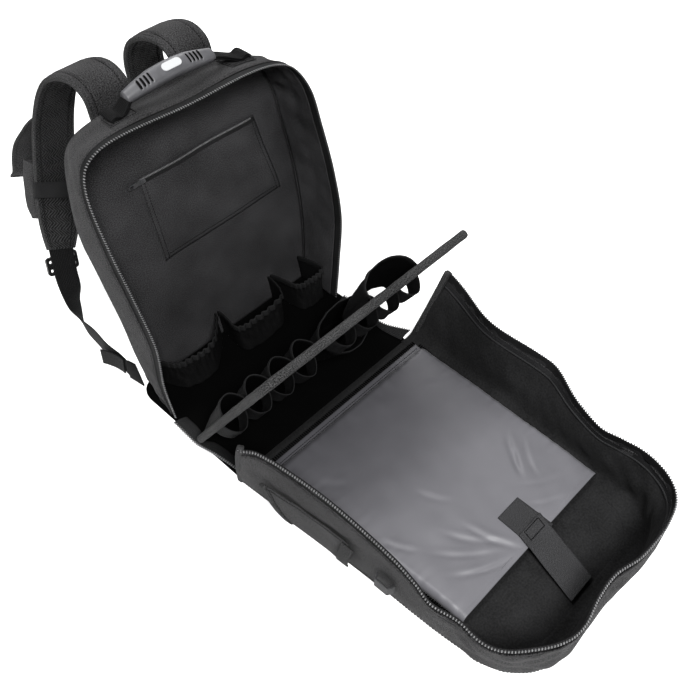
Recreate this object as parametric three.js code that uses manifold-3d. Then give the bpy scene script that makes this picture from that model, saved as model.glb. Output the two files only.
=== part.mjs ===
// A tool backpack of black woven polyester, standing on its base with its front unzipped and folded
// down flat on the floor. Millimetres, +Z up. The origin is the middle of the underside of the base,
// the flap lies towards -Y, and the wearer's back is towards +Y.
import * as THREE from 'three';
import { mergeVertices } from 'three/addons/utils/BufferGeometryUtils.js';
import Module from 'manifold-3d';

const wasm = await Module();
wasm.setup();

// Driving dimensions of the bag.
const packWidth = 340;
const packHeight = 394;
const mainDepth = 81;
const flapDepth = 126;
const flapLength = 429;
const backLean = 12;
const flapCorner = 80;
const baseCorner = 30;
const baseTuck = 16;
const basePad = 4;
const backPad = 8;
const flapPad = 5;
const wallPad = 4;
const liningPuff = 7;
const clothWall = 2;
const zipTape = 12;
const zipThick = 2;
const bindingWidth = 9;
const clearance = 0.3;

// Pockets on the inside of the back.
const patchWidth = 194;
const patchHeight = 123;
const patchTop = 302;
const patchCentre = 27;
const pullLength = 26;
const pullWidth = 6;
const pullThick = 1.4;
const pocketHeight = 58;
const pocketDepth = 62;

// The stiff divider board with its own pockets.
const dividerWidth = 335;
const dividerHeight = 304;
const dividerThick = 8;
const dividerLean = 32.3;
const dividerCorner = 20;
const dividerFoot = -28.6;
const dividerShift = -8;
const dividerBinding = 11;

// The padded sleeve in the flap and the strap that closes it.
const sleeveWidth = 290;
const sleeveLength = 306;
const sleeveThick = 15;
const sleeveShift = 9;
const sleeveFromHinge = 18;
const sleeveSheet = 3;
const sleeveStrapWidth = 42;
const sleeveTabLength = 52;
const webbingThick = 1.6;

// Pocket and loop on the left wall of the flap.
const sidePocketRise = 60;
const sidePocketStand = 10;
const sideLoopStand = 7;

// The carrying handle on the top.
const handleBack = 40;
const gripLength = 128;
const gripWidth = 27;
const gripThick = 21;
const gripRise = 12;
const gripArch = 7;
const gripTilt = 45;
const badgeLength = 27;
const badgeWidth = 10;
const anchorLength = 40;
const anchorWidth = 30;
const handleWebbing = 24;

// The shoulder straps, their webbing and what they carry.
const strapWidth = 57;
const strapThick = 10;
const strapReach = 216;
const webbingWidth = 34;
const buckleWidth = 46;
const buckleLength = 26;
const buckleThick = 4;
const buckleSlot = 5.5;
const tabHeight = 40;
const tabThick = 2.4;
const tailLength = 44;
const pouchWidth = 56;
const pouchThick = 44;

// Sizes that follow from the driving dimensions.
const lean = THREE.MathUtils.degToRad(backLean);
const halfWidth = packWidth / 2;
const baseDepth = mainDepth / Math.cos(lean) + flapDepth;
const backEdge = baseDepth / 2;
const hinge = -baseDepth / 2;
const zipFoot = backEdge - mainDepth / Math.cos(lean);
const farEdge = hinge - flapLength;
const innerBack = mainDepth - backPad - clearance;
const floorTop = basePad + clearance;
const flapFloor = flapPad + clearance;

const vector = (x, y, z) => new THREE.Vector3(x, y, z);
const mix = THREE.MathUtils.lerp;
const swell = (share) => Math.sin(Math.PI * share);

/** Value of one column of a table at a station, run smoothly through the rows (cubic Hermite). */
function column(rows, name, station) {
  const last = rows.length - 1;
  let k = 0;
  while (k < last - 1 && rows[k + 1].at <= station) k += 1;
  const [a, b] = [rows[k], rows[k + 1]];
  const span = b.at - a.at;
  const t = THREE.MathUtils.clamp((station - a.at) / span, 0, 1);
  const slope = (i) => {
    const before = rows[Math.max(i - 1, 0)];
    const after = rows[Math.min(i + 1, last)];
    return ((after[name] - before[name]) / (after.at - before.at)) * span;
  };
  const cube = 2 * t ** 3 - 3 * t ** 2;
  const start = (1 + cube) * a[name] + (t ** 3 - 2 * t ** 2 + t) * slope(k);
  return start - cube * b[name] + (t ** 3 - t ** 2) * slope(k + 1);
}

/** Indexed geometry of one closed body, turned so that its faces point outwards. */
function closedBody(points, faces) {
  let volume = 0;
  for (const [a, b, c] of faces) {
    volume += points[a].dot(points[b].clone().cross(points[c]));
  }
  const geometry = new THREE.BufferGeometry();
  const positions = points.flatMap((p) => [p.x, p.y, p.z]);
  geometry.setAttribute('position', new THREE.Float32BufferAttribute(positions, 3));
  geometry.setIndex(faces.flatMap(([a, b, c]) => (volume > 0 ? [a, b, c] : [a, c, b])));
  return geometry;
}

/** Unit normal of face(u, v), from differences across a small step that stays inside 0 to 1. */
function normalOf(face, u, v) {
  const step = 0.004;
  const [u0, u1] = [Math.max(u - step, 0), Math.min(u + step, 1)];
  const [v0, v1] = [Math.max(v - step, 0), Math.min(v + step, 1)];
  const alongU = face(u1, v).sub(face(u0, v));
  const alongV = face(u, v1).sub(face(u, v0));
  return alongU.cross(alongV).normalize();
}

/** The face moved along its own normal by distance(u, v). */
function offsetFace(face, distance) {
  return (u, v) => face(u, v).addScaledVector(normalOf(face, u, v), distance(u, v));
}

/** A closed body between two faces over the same square of u and v. */
function slab(outer, inner, stepsU, stepsV) {
  const points = [];
  for (let i = 0; i <= stepsU; i += 1) {
    for (let j = 0; j <= stepsV; j += 1) {
      points.push(outer(i / stepsU, j / stepsV), inner(i / stepsU, j / stepsV));
    }
  }
  const at = (i, j, side) => 2 * (i * (stepsV + 1) + j) + side;
  const faces = [];
  const quad = (a, b, c, d) => faces.push([a, b, c], [a, c, d]);
  for (let i = 0; i < stepsU; i += 1) {
    for (let j = 0; j < stepsV; j += 1) {
      quad(at(i, j, 0), at(i + 1, j, 0), at(i + 1, j + 1, 0), at(i, j + 1, 0));
      quad(at(i, j, 1), at(i, j + 1, 1), at(i + 1, j + 1, 1), at(i + 1, j, 1));
    }
    quad(at(i, 0, 0), at(i, 0, 1), at(i + 1, 0, 1), at(i + 1, 0, 0));
    quad(at(i, stepsV, 0), at(i + 1, stepsV, 0), at(i + 1, stepsV, 1), at(i, stepsV, 1));
  }
  for (let j = 0; j < stepsV; j += 1) {
    quad(at(0, j, 0), at(0, j + 1, 0), at(0, j + 1, 1), at(0, j, 1));
    quad(at(stepsU, j, 0), at(stepsU, j, 1), at(stepsU, j + 1, 1), at(stepsU, j + 1, 0));
  }
  return closedBody(points, faces);
}

/** A wall behind face(u, v), thick(u, v) deep. Its inner points are settled clear of what they meet. */
function wallSolid(face, thick, stepsU, stepsV, settle = (point) => point) {
  const inner = offsetFace(face, (u, v) => -thick(u, v));
  return slab(face, (u, v) => settle(inner(u, v)), stepsU, stepsV);
}

/** A body lofted through rings: ring(u, angle) is a point, and flat fans close both ends. */
function loftSolid(ring, steps, sides) {
  const points = [];
  for (let i = 0; i <= steps; i += 1) {
    for (let j = 0; j < sides; j += 1) {
      points.push(ring(i / steps, (2 * Math.PI * j) / sides));
    }
  }
  const middle = (i) => {
    const centre = vector(0, 0, 0);
    for (let j = 0; j < sides; j += 1) centre.add(points[i * sides + j]);
    return centre.divideScalar(sides);
  };
  const first = points.push(middle(0)) - 1;
  const end = points.push(middle(steps)) - 1;
  const faces = [];
  for (let j = 0; j < sides; j += 1) {
    const next = (j + 1) % sides;
    for (let i = 0; i < steps; i += 1) {
      const [a, b] = [i * sides + j, i * sides + next];
      faces.push([a, b, b + sides], [a, b + sides, a + sides]);
    }
    faces.push([first, next, j], [end, steps * sides + j, steps * sides + next]);
  }
  return closedBody(points, faces);
}

/** A closed ring of tube through a list of frames, each an origin with a side and a normal. */
function ringSolid(frames, section, sides) {
  const points = frames.flatMap((frame) => Array.from({ length: sides }, (_, j) => {
    const [across, out] = section((2 * Math.PI * (j + 0.5)) / sides);
    const point = frame.origin.clone().addScaledVector(frame.side, across);
    return point.addScaledVector(frame.normal, out);
  }));
  const faces = [];
  for (let i = 0; i < frames.length; i += 1) {
    for (let j = 0; j < sides; j += 1) {
      const [next, turn] = [(i + 1) % frames.length, (j + 1) % sides];
      const [a, b] = [i * sides + j, next * sides + j];
      const [c, d] = [next * sides + turn, i * sides + turn];
      faces.push([a, b, c], [a, c, d]);
    }
  }
  return closedBody(points, faces);
}

/** Offsets of a rounded box section: an ellipse squared up by its power. */
function roundedBox(width, thick, angle, power = 0.4) {
  const squared = (value) => Math.sign(value) * Math.abs(value) ** power;
  return [(width / 2) * squared(Math.cos(angle)), (thick / 2) * squared(Math.sin(angle))];
}

/** Cuts one solid out of another. */
function cut(body, tool) {
  const solidOf = (geometry) => new wasm.Manifold(new wasm.Mesh({
    numProp: 3,
    vertProperties: geometry.attributes.position.array,
    triVerts: Uint32Array.from(geometry.index.array),
  }));
  const result = solidOf(body).subtract(solidOf(tool)).getMesh();
  const geometry = new THREE.BufferGeometry();
  geometry.setAttribute('position', new THREE.BufferAttribute(result.vertProperties, 3));
  geometry.setIndex(new THREE.BufferAttribute(result.triVerts, 1));
  return geometry;
}

/** A plate: the outline extruded upwards from one height to another. */
function plate(outline, from, to, curveSegments = 8) {
  const depth = to - from;
  const solid = new THREE.ExtrudeGeometry(outline, { depth, bevelEnabled: false, curveSegments });
  solid.deleteAttribute('normal');
  solid.deleteAttribute('uv');
  return mergeVertices(solid.translate(0, 0, from));
}

/** A plate that stands up: its outline is in x and z, and it fills y from one value to another. */
function standingPlate(outline, from, to, curveSegments = 8) {
  return plate(outline, -to, -from, curveSegments).rotateX(Math.PI / 2);
}

/** A rectangle with round corners, by its limits. */
function roundedRectangle(left, right, low, high, corner) {
  const outline = new THREE.Shape();
  outline.moveTo(left + corner, low);
  outline.absarc(right - corner, low + corner, corner, -Math.PI / 2, 0);
  outline.absarc(right - corner, high - corner, corner, 0, Math.PI / 2);
  outline.absarc(left + corner, high - corner, corner, Math.PI / 2, Math.PI);
  outline.absarc(left + corner, low + corner, corner, Math.PI, 1.5 * Math.PI);
  return outline;
}

/** The same body on the other side of the middle plane. */
function mirrored(body) {
  const geometry = body.clone().scale(-1, 1, 1);
  const index = Array.from(geometry.index.array);
  for (let i = 0; i < index.length; i += 3) {
    [index[i + 1], index[i + 2]] = [index[i + 2], index[i + 1]];
  }
  geometry.setIndex(index);
  return geometry;
}

const group = new THREE.Group();
const standing = new THREE.Group();
standing.position.set(0, zipFoot, 0);
standing.rotation.x = -lean;
const divider = new THREE.Group();
group.add(standing, divider);

/** Adds one named piece. */
function piece(parent, name, geometry, colour, roughness = 0.9, metalness = 0) {
  const material = new THREE.MeshStandardMaterial({ color: colour, roughness, metalness });
  const mesh = new THREE.Mesh(geometry, material);
  mesh.name = name;
  parent.add(mesh);
  return mesh;
}

const weave = 0x2d2d2f;
const lining = 0x161617;
const binding = 0x1e1e20;
const zipBlack = 0x3a3a3d;
const webbing = 0x26262a;
const satin = 0x707074;
const moulded = 0x5f5f62;
const steel = 0xb9babd;

// Base: a flat padded floor whose right edge is drawn in a little by the sagging wall.
const baseOutline = new THREE.Shape();
const baseLeft = -halfWidth * 0.985;
const baseRight = halfWidth - baseTuck;
baseOutline.moveTo(baseLeft, hinge);
baseOutline.lineTo(baseRight, hinge);
baseOutline.absarc(baseRight - baseCorner, backEdge - baseCorner, baseCorner, 0, Math.PI / 2);
baseOutline.absarc(baseLeft + baseCorner, backEdge - baseCorner, baseCorner, Math.PI / 2, Math.PI);
piece(group, 'base_panel', plate(baseOutline, 0, basePad), weave);

// Low bands of cloth along both sides of the base, from the hinge of the flap to the main zip.
// Inner and out are shares of the base's reach on that side, rise a share of the flap's depth.
const bandRows = {
  left: [
    { at: 0, inner: 0.91, out: 0.985, rise: 0.1 },
    { at: 0.3, inner: 0.91, out: 1.01, rise: 0.1 },
    { at: 0.5, inner: 0.93, out: 1.03, rise: 0.08 },
    { at: 0.62, inner: 0.975, out: 1.04, rise: 0.065 },
    { at: 0.75, inner: 0.93, out: 1.04, rise: 0.08 },
    { at: 1, inner: 0.92, out: 1.04, rise: 0.11 },
  ],
  right: [
    { at: 0, inner: 0.95, out: 1.08, rise: 0.09 },
    { at: 0.3, inner: 0.92, out: 0.98, rise: 0.08 },
    { at: 0.62, inner: 0.95, out: 0.97, rise: 0.052 },
    { at: 1, inner: 0.9, out: 0.98, rise: 0.09 },
  ],
};
const bandStart = hinge + clothWall + 2 * clearance;
const bandEnd = zipFoot - zipTape / 2;
const bandLow = floorTop + clothWall;
for (const [side, edge] of [['left', baseLeft], ['right', baseRight]]) {
  const rows = bandRows[side];
  const band = (u, v) => {
    const across = mix(column(rows, 'inner', u), column(rows, 'out', u), v);
    return vector(edge * across, mix(bandStart, bandEnd, u), mix(bandLow, flapDepth * column(rows, 'rise', u), v));
  };
  const under = (u, v) => band(u, v).add(vector(0, 0, -clothWall));
  piece(group, `base_band_${side}`, slab(band, under, 10, 3), weave);
}

// Side and top walls of the main compartment. Outwards is a share of half the width, up a share of
// the height, belly a share of the depth; front columns lie at the zip and back columns at the back.
const archRows = [
  { at: 0, frontOut: -0.985, frontUp: 0, backOut: -0.89, backUp: 0, belly: 0.02 },
  { at: 0.06, frontOut: -0.98, frontUp: 0.15, backOut: -0.91, backUp: 0.15, belly: 0.05 },
  { at: 0.12, frontOut: -0.93, frontUp: 0.3, backOut: -0.92, backUp: 0.3, belly: 0.06 },
  { at: 0.19, frontOut: -0.955, frontUp: 0.51, backOut: -0.95, backUp: 0.51, belly: 0.06 },
  { at: 0.26, frontOut: -0.99, frontUp: 0.71, backOut: -0.96, backUp: 0.7, belly: 0.06 },
  { at: 0.315, frontOut: -0.995, frontUp: 0.89, backOut: -0.885, backUp: 0.875, belly: 0.06 },
  { at: 0.35, frontOut: -0.92, frontUp: 0.973, backOut: -0.8, backUp: 0.956, belly: 0.05 },
  { at: 0.39, frontOut: -0.695, frontUp: 1.005, backOut: -0.61, backUp: 0.991, belly: 0.03 },
  { at: 0.495, frontOut: -0.05, frontUp: 0.992, backOut: 0, backUp: 1.006, belly: 0.015 },
  { at: 0.59, frontOut: 0.55, frontUp: 0.987, backOut: 0.53, backUp: 1, belly: 0.02 },
  { at: 0.645, frontOut: 0.85, frontUp: 0.947, backOut: 0.81, backUp: 0.951, belly: 0.05 },
  { at: 0.695, frontOut: 1.005, frontUp: 0.842, backOut: 0.955, backUp: 0.83, belly: 0.06 },
  { at: 0.75, frontOut: 1.055, frontUp: 0.69, backOut: 0.985, backUp: 0.68, belly: 0.06 },
  { at: 0.82, frontOut: 1.09, frontUp: 0.5, backOut: 1.005, backUp: 0.5, belly: 0.06 },
  { at: 0.885, frontOut: 1.075, frontUp: 0.31, backOut: 0.985, backUp: 0.31, belly: 0.06 },
  { at: 0.945, frontOut: 0.96, frontUp: 0.14, backOut: 0.94, backUp: 0.15, belly: 0.05 },
  { at: 1, frontOut: 0.85, frontUp: 0, backOut: 0.87, backUp: 0, belly: 0.02 },
];
const footAt = (depth) => (floorTop + depth * Math.sin(lean)) / Math.cos(lean);
const aboveFloor = (point) => vector(point.x, point.y, Math.max(point.z, footAt(point.y)));

/** Point of the outer side of the main wall at a station of the arch and a depth behind the zip. */
function mainWall(station, depth) {
  const share = depth / mainDepth;
  const value = (name) => column(archRows, name, station);
  const foot = footAt(Math.max(depth, zipTape));
  const up = mix(value('frontUp'), value('backUp'), share);
  const out = mix(value('frontOut'), value('backOut'), share) * halfWidth;
  const round = Math.PI * station;
  const belly = value('belly') * mainDepth * swell(share);
  const height = foot + up * (packHeight - foot) + belly * Math.sin(round) ** 4;
  return vector(out - belly * Math.cos(round), depth, height);
}
const archSteps = 52;
const gusset = (u, v) => mainWall(u, mix(zipTape + clearance, innerBack, v));
piece(standing, 'main_wall', wallSolid(gusset, () => wallPad, archSteps, 4, aboveFloor), weave);
const mainZipFace = (u, v) => mainWall(u, mix(0, zipTape, v));
const mainZip = wallSolid(mainZipFace, () => zipThick, archSteps, 1, aboveFloor);
piece(standing, 'main_zip', mainZip, zipBlack, 0.6);

// Back: one padded panel inside the outline of the wall's back edge.
const backOutline = new THREE.Shape();
for (let i = 0; i <= archSteps; i += 1) {
  const point = mainWall(i / archSteps, innerBack);
  const low = Math.max(point.z, footAt(mainDepth));
  if (i === 0) backOutline.moveTo(point.x, low);
  else backOutline.lineTo(point.x, low);
}
piece(standing, 'back_panel', standingPlate(backOutline, mainDepth - backPad, mainDepth), lining);

// Flat zipped pocket, high on the inside of the back, with its zip and the zip's pull.
const patchLeft = patchCentre - patchWidth / 2;
const patchLow = patchTop - patchHeight;
const patchFace = innerBack - clothWall;
const patchOutline = new THREE.Shape();
patchOutline.moveTo(patchLeft, patchLow);
patchOutline.lineTo(patchLeft + patchWidth * 1.08, patchLow + patchHeight * 0.03);
patchOutline.lineTo(patchLeft + patchWidth * 0.98, patchTop);
patchOutline.lineTo(patchLeft, patchTop);
piece(standing, 'patch_pocket', standingPlate(patchOutline, patchFace, innerBack), lining);
const zipBack = patchFace - clearance;
const zipFront = zipBack - webbingThick;
const patchZip = roundedRectangle(
  patchLeft + clothWall, patchLeft + patchWidth * 0.97, patchTop - bindingWidth, patchTop - clothWall / 2, 1,
);
piece(standing, 'patch_zip', standingPlate(patchZip, zipFront, zipBack, 2), zipBlack, 0.6);
const pullBack = zipFront - clearance;
const pullMiddle = patchTop - bindingWidth / 2;
const pullRight = patchLeft + pullWidth * 1.5;
const pullLeft = pullRight - pullLength;
const pull = roundedRectangle(
  pullLeft, pullRight, pullMiddle - pullWidth / 2, pullMiddle + pullWidth / 2, pullWidth / 3,
);
pull.holes.push(roundedRectangle(
  pullLeft + pullWidth / 3, pullLeft + 1.4 * pullWidth, pullMiddle - pullWidth / 5, pullMiddle + pullWidth / 5, 1,
));
const pullPlate = standingPlate(pull, pullBack - pullThick, pullBack, 3);
piece(standing, 'patch_zip_pull', pullPlate, steel, 0.3, 0.9);

// Three gathered pockets along the foot of the back. Each plan runs from the back panel round the
// front and home again: across is a share of half the width, out a share of the pocket depth.
const pocketPlans = {
  pocket_left: [
    { at: 0, across: -0.835, out: 0 },
    { at: 0.3, across: -0.735, out: 0.68 },
    { at: 0.5, across: -0.57, out: 0.84 },
    { at: 0.7, across: -0.4, out: 0.76 },
    { at: 1, across: -0.135, out: 0 },
  ],
  pocket_centre: [
    { at: 0, across: -0.105, out: 0 },
    { at: 0.25, across: -0.145, out: 0.84 },
    { at: 0.5, across: 0.08, out: 0.99 },
    { at: 0.75, across: 0.35, out: 0.8 },
    { at: 1, across: 0.47, out: 0 },
  ],
  pocket_right: [
    { at: 0, across: 0.5, out: 0 },
    { at: 0.28, across: 0.53, out: 0.86 },
    { at: 0.52, across: 0.68, out: 1 },
    { at: 0.75, across: 0.825, out: 0.84 },
    { at: 1, across: 0.83, out: 0 },
  ],
};
const beforeBack = (point) => aboveFloor(vector(point.x, Math.min(point.y, innerBack), point.z));
for (const [name, plan] of Object.entries(pocketPlans)) {
  const middle = (plan[0].across + plan[plan.length - 1].across) / 2;
  const pocket = (u, v) => {
    const full = mix(0.86, 1, v);
    const across = mix(middle, column(plan, 'across', u), mix(1, full, swell(u)));
    const depth = innerBack - pocketDepth * column(plan, 'out', u) * mix(0.9, 1, v);
    const foot = footAt(Math.max(depth, 0)) + clearance;
    return vector(across * halfWidth, depth, mix(foot, foot + pocketHeight - 4 * swell(u), v));
  };
  piece(standing, name, wallSolid(pocket, () => clothWall, 16, 3, beforeBack), lining);
}

// Divider: a stiff board with a bound edge that stands on the base and leans towards the flap.
const bindingHalf = dividerBinding / 2;
divider.position.set(dividerShift, dividerFoot, floorTop + bindingHalf + 2 * clearance);
divider.rotation.x = THREE.MathUtils.degToRad(dividerLean);
const dividerHalf = dividerWidth / 2 - bindingHalf;
const dividerRise = dividerHeight - dividerBinding;
const bindingFrames = [
  [dividerHalf - dividerCorner, dividerCorner],
  [dividerHalf - dividerCorner, dividerRise - dividerCorner],
  [dividerCorner - dividerHalf, dividerRise - dividerCorner],
  [dividerCorner - dividerHalf, dividerCorner],
].flatMap(([x, z], quarter) => [0, 1, 2, 3, 4].map((part) => {
  const angle = (quarter - 1 + part / 4) * (Math.PI / 2);
  const normal = vector(Math.cos(angle), 0, Math.sin(angle));
  const origin = vector(x, 0, z).addScaledVector(normal, dividerCorner);
  return { origin, normal, side: vector(0, 1, 0) };
}));
const bindingSection = (angle) => roundedBox(dividerBinding, dividerBinding, angle, 0.7);
piece(divider, 'divider_binding', ringSolid(bindingFrames, bindingSection, 8), binding);
const boardInset = bindingHalf + 2 * clearance;
const boardSide = dividerHalf - boardInset;
const boardOutline = roundedRectangle(
  -boardSide, boardSide, boardInset, dividerRise - boardInset, dividerCorner - boardInset,
);
const board = standingPlate(boardOutline, -dividerThick / 2, dividerThick / 2, 4);
piece(divider, 'divider_board', board, lining);

/** Cloth sewn to the board in lobes. It stands off by the lobe's depth, and foot is the share of
 * that depth at its lower edge: 0 makes closed cells, 1 an elastic band that is open below. */
function lobedSheet({ from, to, low, high, lobes, depth, foot, power, front, sag, rows }) {
  const facing = front ? -1 : 1;
  const seamFace = dividerThick / 2 + clearance;
  const knots = [0, 0.06, 0.15, 0.3, 0.5, 0.7, 0.85, 0.94, 1];
  const steps = knots.length - 1;
  const sheet = (u, v) => {
    const lobe = Math.min(Math.floor(u * lobes), lobes - 1);
    const knot = Math.min((u * lobes - lobe) * steps, steps - 1e-9);
    const [whole, part] = [Math.floor(knot), knot % 1];
    const phase = mix(knots[whole], knots[whole + 1], part);
    const arc = THREE.MathUtils.clamp((phase - knots[1]) / (knots[steps - 1] - knots[1]), 0, 1);
    const bulge = swell(arc) ** power;
    const across = mix(from, to, (lobe + phase) / lobes);
    const off = depth * bulge * mix(foot, 1, Math.sqrt(v));
    return vector(across, facing * (seamFace + clothWall + off), mix(low, high - sag * bulge, v));
  };
  const turned = front ? sheet : (u, v) => sheet(1 - u, v);
  const offBoard = (point) => vector(point.x, facing * Math.max(facing * point.y, seamFace), point.z);
  return wallSolid(turned, () => clothWall, lobes * steps, rows, offBoard);
}
const pocketLow = dividerBinding + clearance;
const rowEdge = boardSide - 2 * clearance;
const dividerPockets = {
  divider_cells: {
    from: -rowEdge, to: 0.02 * dividerWidth, low: pocketLow, high: 0.35 * dividerHeight,
    lobes: 4, depth: 19, foot: 0.15, power: 0.6, front: false, sag: 3, rows: 2,
  },
  divider_flat_pocket: {
    from: 0.06 * dividerWidth, to: 0.42 * dividerWidth, low: pocketLow,
    high: 0.27 * dividerHeight, lobes: 1, depth: 26, foot: 0.2, power: 0.5, front: false, sag: 4, rows: 3,
  },
  divider_bellows_pocket: {
    from: 0.17 * dividerWidth, to: rowEdge, low: 0.32 * dividerHeight,
    high: 0.62 * dividerHeight, lobes: 1, depth: 32, foot: 0.5, power: 0.35, front: false, sag: 3, rows: 3,
  },
  divider_loops_lower: {
    from: -rowEdge, to: 0.02 * dividerWidth, low: 0.16 * dividerHeight,
    high: 0.28 * dividerHeight, lobes: 4, depth: 20, foot: 1, power: 0.6, front: true, sag: 0, rows: 1,
  },
  divider_front_pocket: {
    from: 0.05 * dividerWidth, to: 0.32 * dividerWidth, low: pocketLow,
    high: 0.3 * dividerHeight, lobes: 1, depth: 26, foot: 0.3, power: 0.5, front: true, sag: 3, rows: 3,
  },
  divider_loops_upper: {
    from: -0.02 * dividerWidth, to: rowEdge, low: 0.45 * dividerHeight,
    high: 0.56 * dividerHeight, lobes: 4, depth: 18, foot: 1, power: 0.6, front: true, sag: 0, rows: 1,
  },
};
for (const [name, sizes] of Object.entries(dividerPockets)) {
  piece(divider, name, lobedSheet(sizes), lining);
}

// Flap: the front of the bag, folded down flat. Its wall follows the outline of its panel.
const flapHalf = 0.87 * halfWidth;
const flapEdge = new THREE.Path();
flapEdge.moveTo(-halfWidth, hinge - clearance);
flapEdge.lineTo(-flapHalf, farEdge + flapCorner);
flapEdge.absarc(-flapHalf + flapCorner, farEdge + flapCorner, flapCorner, Math.PI, 1.5 * Math.PI);
flapEdge.absarc(flapHalf - flapCorner, farEdge + flapCorner, flapCorner, 1.5 * Math.PI, 2 * Math.PI);
flapEdge.lineTo(halfWidth, hinge - clearance);
const flapOutline = new THREE.Shape(flapEdge.getSpacedPoints(56));
piece(group, 'flap_panel', plate(flapOutline, 0, flapPad), weave);

// The rim of the flap's wall waves: lean is a share of the flap's depth, by station along the
// outline from the left end of the hinge, round the far end, to the right end.
const rimRows = [
  { at: 0, lean: 0.17 },
  { at: 0.029, lean: 0.159 },
  { at: 0.047, lean: 0.07 },
  { at: 0.084, lean: 0.017 },
  { at: 0.147, lean: -0.008 },
  { at: 0.224, lean: 0.033 },
  { at: 0.26, lean: 0.089 },
  { at: 0.282, lean: 0.141 },
  { at: 0.313, lean: 0.109 },
  { at: 0.346, lean: 0.14 },
  { at: 0.381, lean: 0.078 },
  { at: 0.417, lean: 0.066 },
  { at: 0.44, lean: 0.04 },
  { at: 0.462, lean: 0.001 },
  { at: 0.496, lean: -0.014 },
  { at: 0.53, lean: 0.06 },
  { at: 0.58, lean: 0.081 },
  { at: 0.615, lean: 0.129 },
  { at: 0.65, lean: 0.075 },
  { at: 0.689, lean: -0.003 },
  { at: 0.709, lean: -0.047 },
  { at: 0.731, lean: -0.019 },
  { at: 0.758, lean: 0.054 },
  { at: 0.798, lean: 0.225 },
  { at: 0.82, lean: 0.224 },
  { at: 0.879, lean: 0.137 },
  { at: 0.907, lean: 0.156 },
  { at: 0.952, lean: 0.291 },
  { at: 0.98, lean: 0.35 },
  { at: 1, lean: 0.34 },
];
const rimWidth = (station) => flapDepth * (0.968 - 0.27 * swell(station));
const slantLeft = 0.03;
const slantRight = 0.015;

/** Point of the outer side of the flap's wall at a station and a share of its width up the wall.
 * Near the hinge the stations slant away from it, as the free ends of the wall do. */
function flapWall(station, share) {
  const slant = slantLeft * (1 - station) ** 4 - slantRight * station ** 4;
  const place = station + slant * share;
  const foot = flapEdge.getPointAt(place);
  const tangent = flapEdge.getTangentAt(place);
  const width = rimWidth(place);
  const away = flapDepth * column(rimRows, 'lean', place);
  const out = away * share + 0.03 * flapDepth * swell(share);
  const up = Math.sqrt(width ** 2 - away ** 2) * share;
  return vector(foot.x + tangent.y * out, foot.y - tangent.x * out, up);
}
const shareAt = (station, height) => height / flapWall(station, 1).z;
const tapeShare = (station) => 1 - zipTape / rimWidth(station);
const flapSide = (u, v) => {
  const low = shareAt(u, flapFloor);
  return flapWall(u, mix(low, tapeShare(u) - clearance / flapDepth, v));
};
const flapLining = (v) => wallPad + liningPuff * (1 - Math.abs(2 * v - 1));
const aboveFlap = (point) => vector(point.x, point.y, Math.max(point.z, flapFloor));
const flapSteps = 60;
const flapBody = wallSolid(flapSide, (u, v) => flapLining(v), flapSteps, 4, aboveFlap);
piece(group, 'flap_wall', flapBody, weave);
const flapZipFace = (u, v) => flapWall(u, mix(tapeShare(u), 1, v));
piece(group, 'flap_zip', wallSolid(flapZipFace, () => zipThick, flapSteps, 1), zipBlack, 0.6);

/** Point inside the flap's wall, stood off its lining; share runs up the lining. */
const onLining = (station, share, stand) => {
  const inner = offsetFace(flapSide, (u, v) => -flapLining(v) - stand);
  return aboveFlap(inner(station, share));
};

// Bound ends of the flap's wall at the hinge.
for (const [side, station] of [['left', 0], ['right', 1]]) {
  const inside = Math.abs(station - 0.01);
  const tape = (u, v, stand) => {
    const across = mix(-0.5 * clothWall, flapLining(u) + 0.5 * clothWall, v);
    const edge = offsetFace(flapSide, () => -across);
    const beyond = edge(station, u).sub(edge(inside, u)).normalize();
    return aboveFlap(edge(station, u).addScaledVector(beyond, stand));
  };
  const near = (u, v) => tape(u, v, clearance);
  const far = (u, v) => tape(u, v, clearance + clothWall);
  piece(group, `flap_binding_${side}`, slab(near, far, 8, 1), binding);
}

// Padded sleeve on the inside of the flap: an envelope that opens at its far end.
const sleeveNear = hinge - sleeveFromHinge;
const sleeveFar = sleeveNear - sleeveLength;
const sleeveEdge = 0.4 * sleeveThick;
const sleevePlan = (u, v, inset) => {
  const half = (sleeveWidth / 2) * mix(1, 0.93, v) - inset;
  return vector(sleeveShift + mix(-half, half, u), mix(sleeveNear - inset, sleeveFar, v), 0);
};
const sleevePuff = (u, v) => {
  const across = 1 - Math.abs(2 * u - 1) ** 5;
  const along = Math.min(1, 0.2 + 4 * v);
  const pucker = 0.1 * Math.cos(5 * Math.PI * (u - 0.5)) * v ** 3;
  return mix(sleeveEdge, sleeveThick, across * along * (1 - pucker) * (1 - 0.12 * v));
};
const sleeveTop = (u, v) => sleevePlan(u, v, 0).setZ(flapFloor + sleevePuff(u, v));
const sleeveLow = (u, v) => sleevePlan(u, v, 0).setZ(flapFloor);
const beyondMouth = (v) => mix(0, 1 + sleeveSheet / sleeveLength, v);
const hollowTop = (u, v) => {
  const w = beyondMouth(v);
  const slot = Math.max(sleevePuff(u, w) - sleeveSheet, sleeveSheet + clearance);
  return sleevePlan(u, w, 2 * sleeveSheet).setZ(flapFloor + slot);
};
const hollowLow = (u, v) => sleevePlan(u, beyondMouth(v), 2 * sleeveSheet).setZ(flapFloor + sleeveSheet);
const sleeve = cut(slab(sleeveTop, sleeveLow, 10, 8), slab(hollowTop, hollowLow, 10, 8));
piece(group, 'sleeve', sleeve, satin, 0.7);

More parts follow.
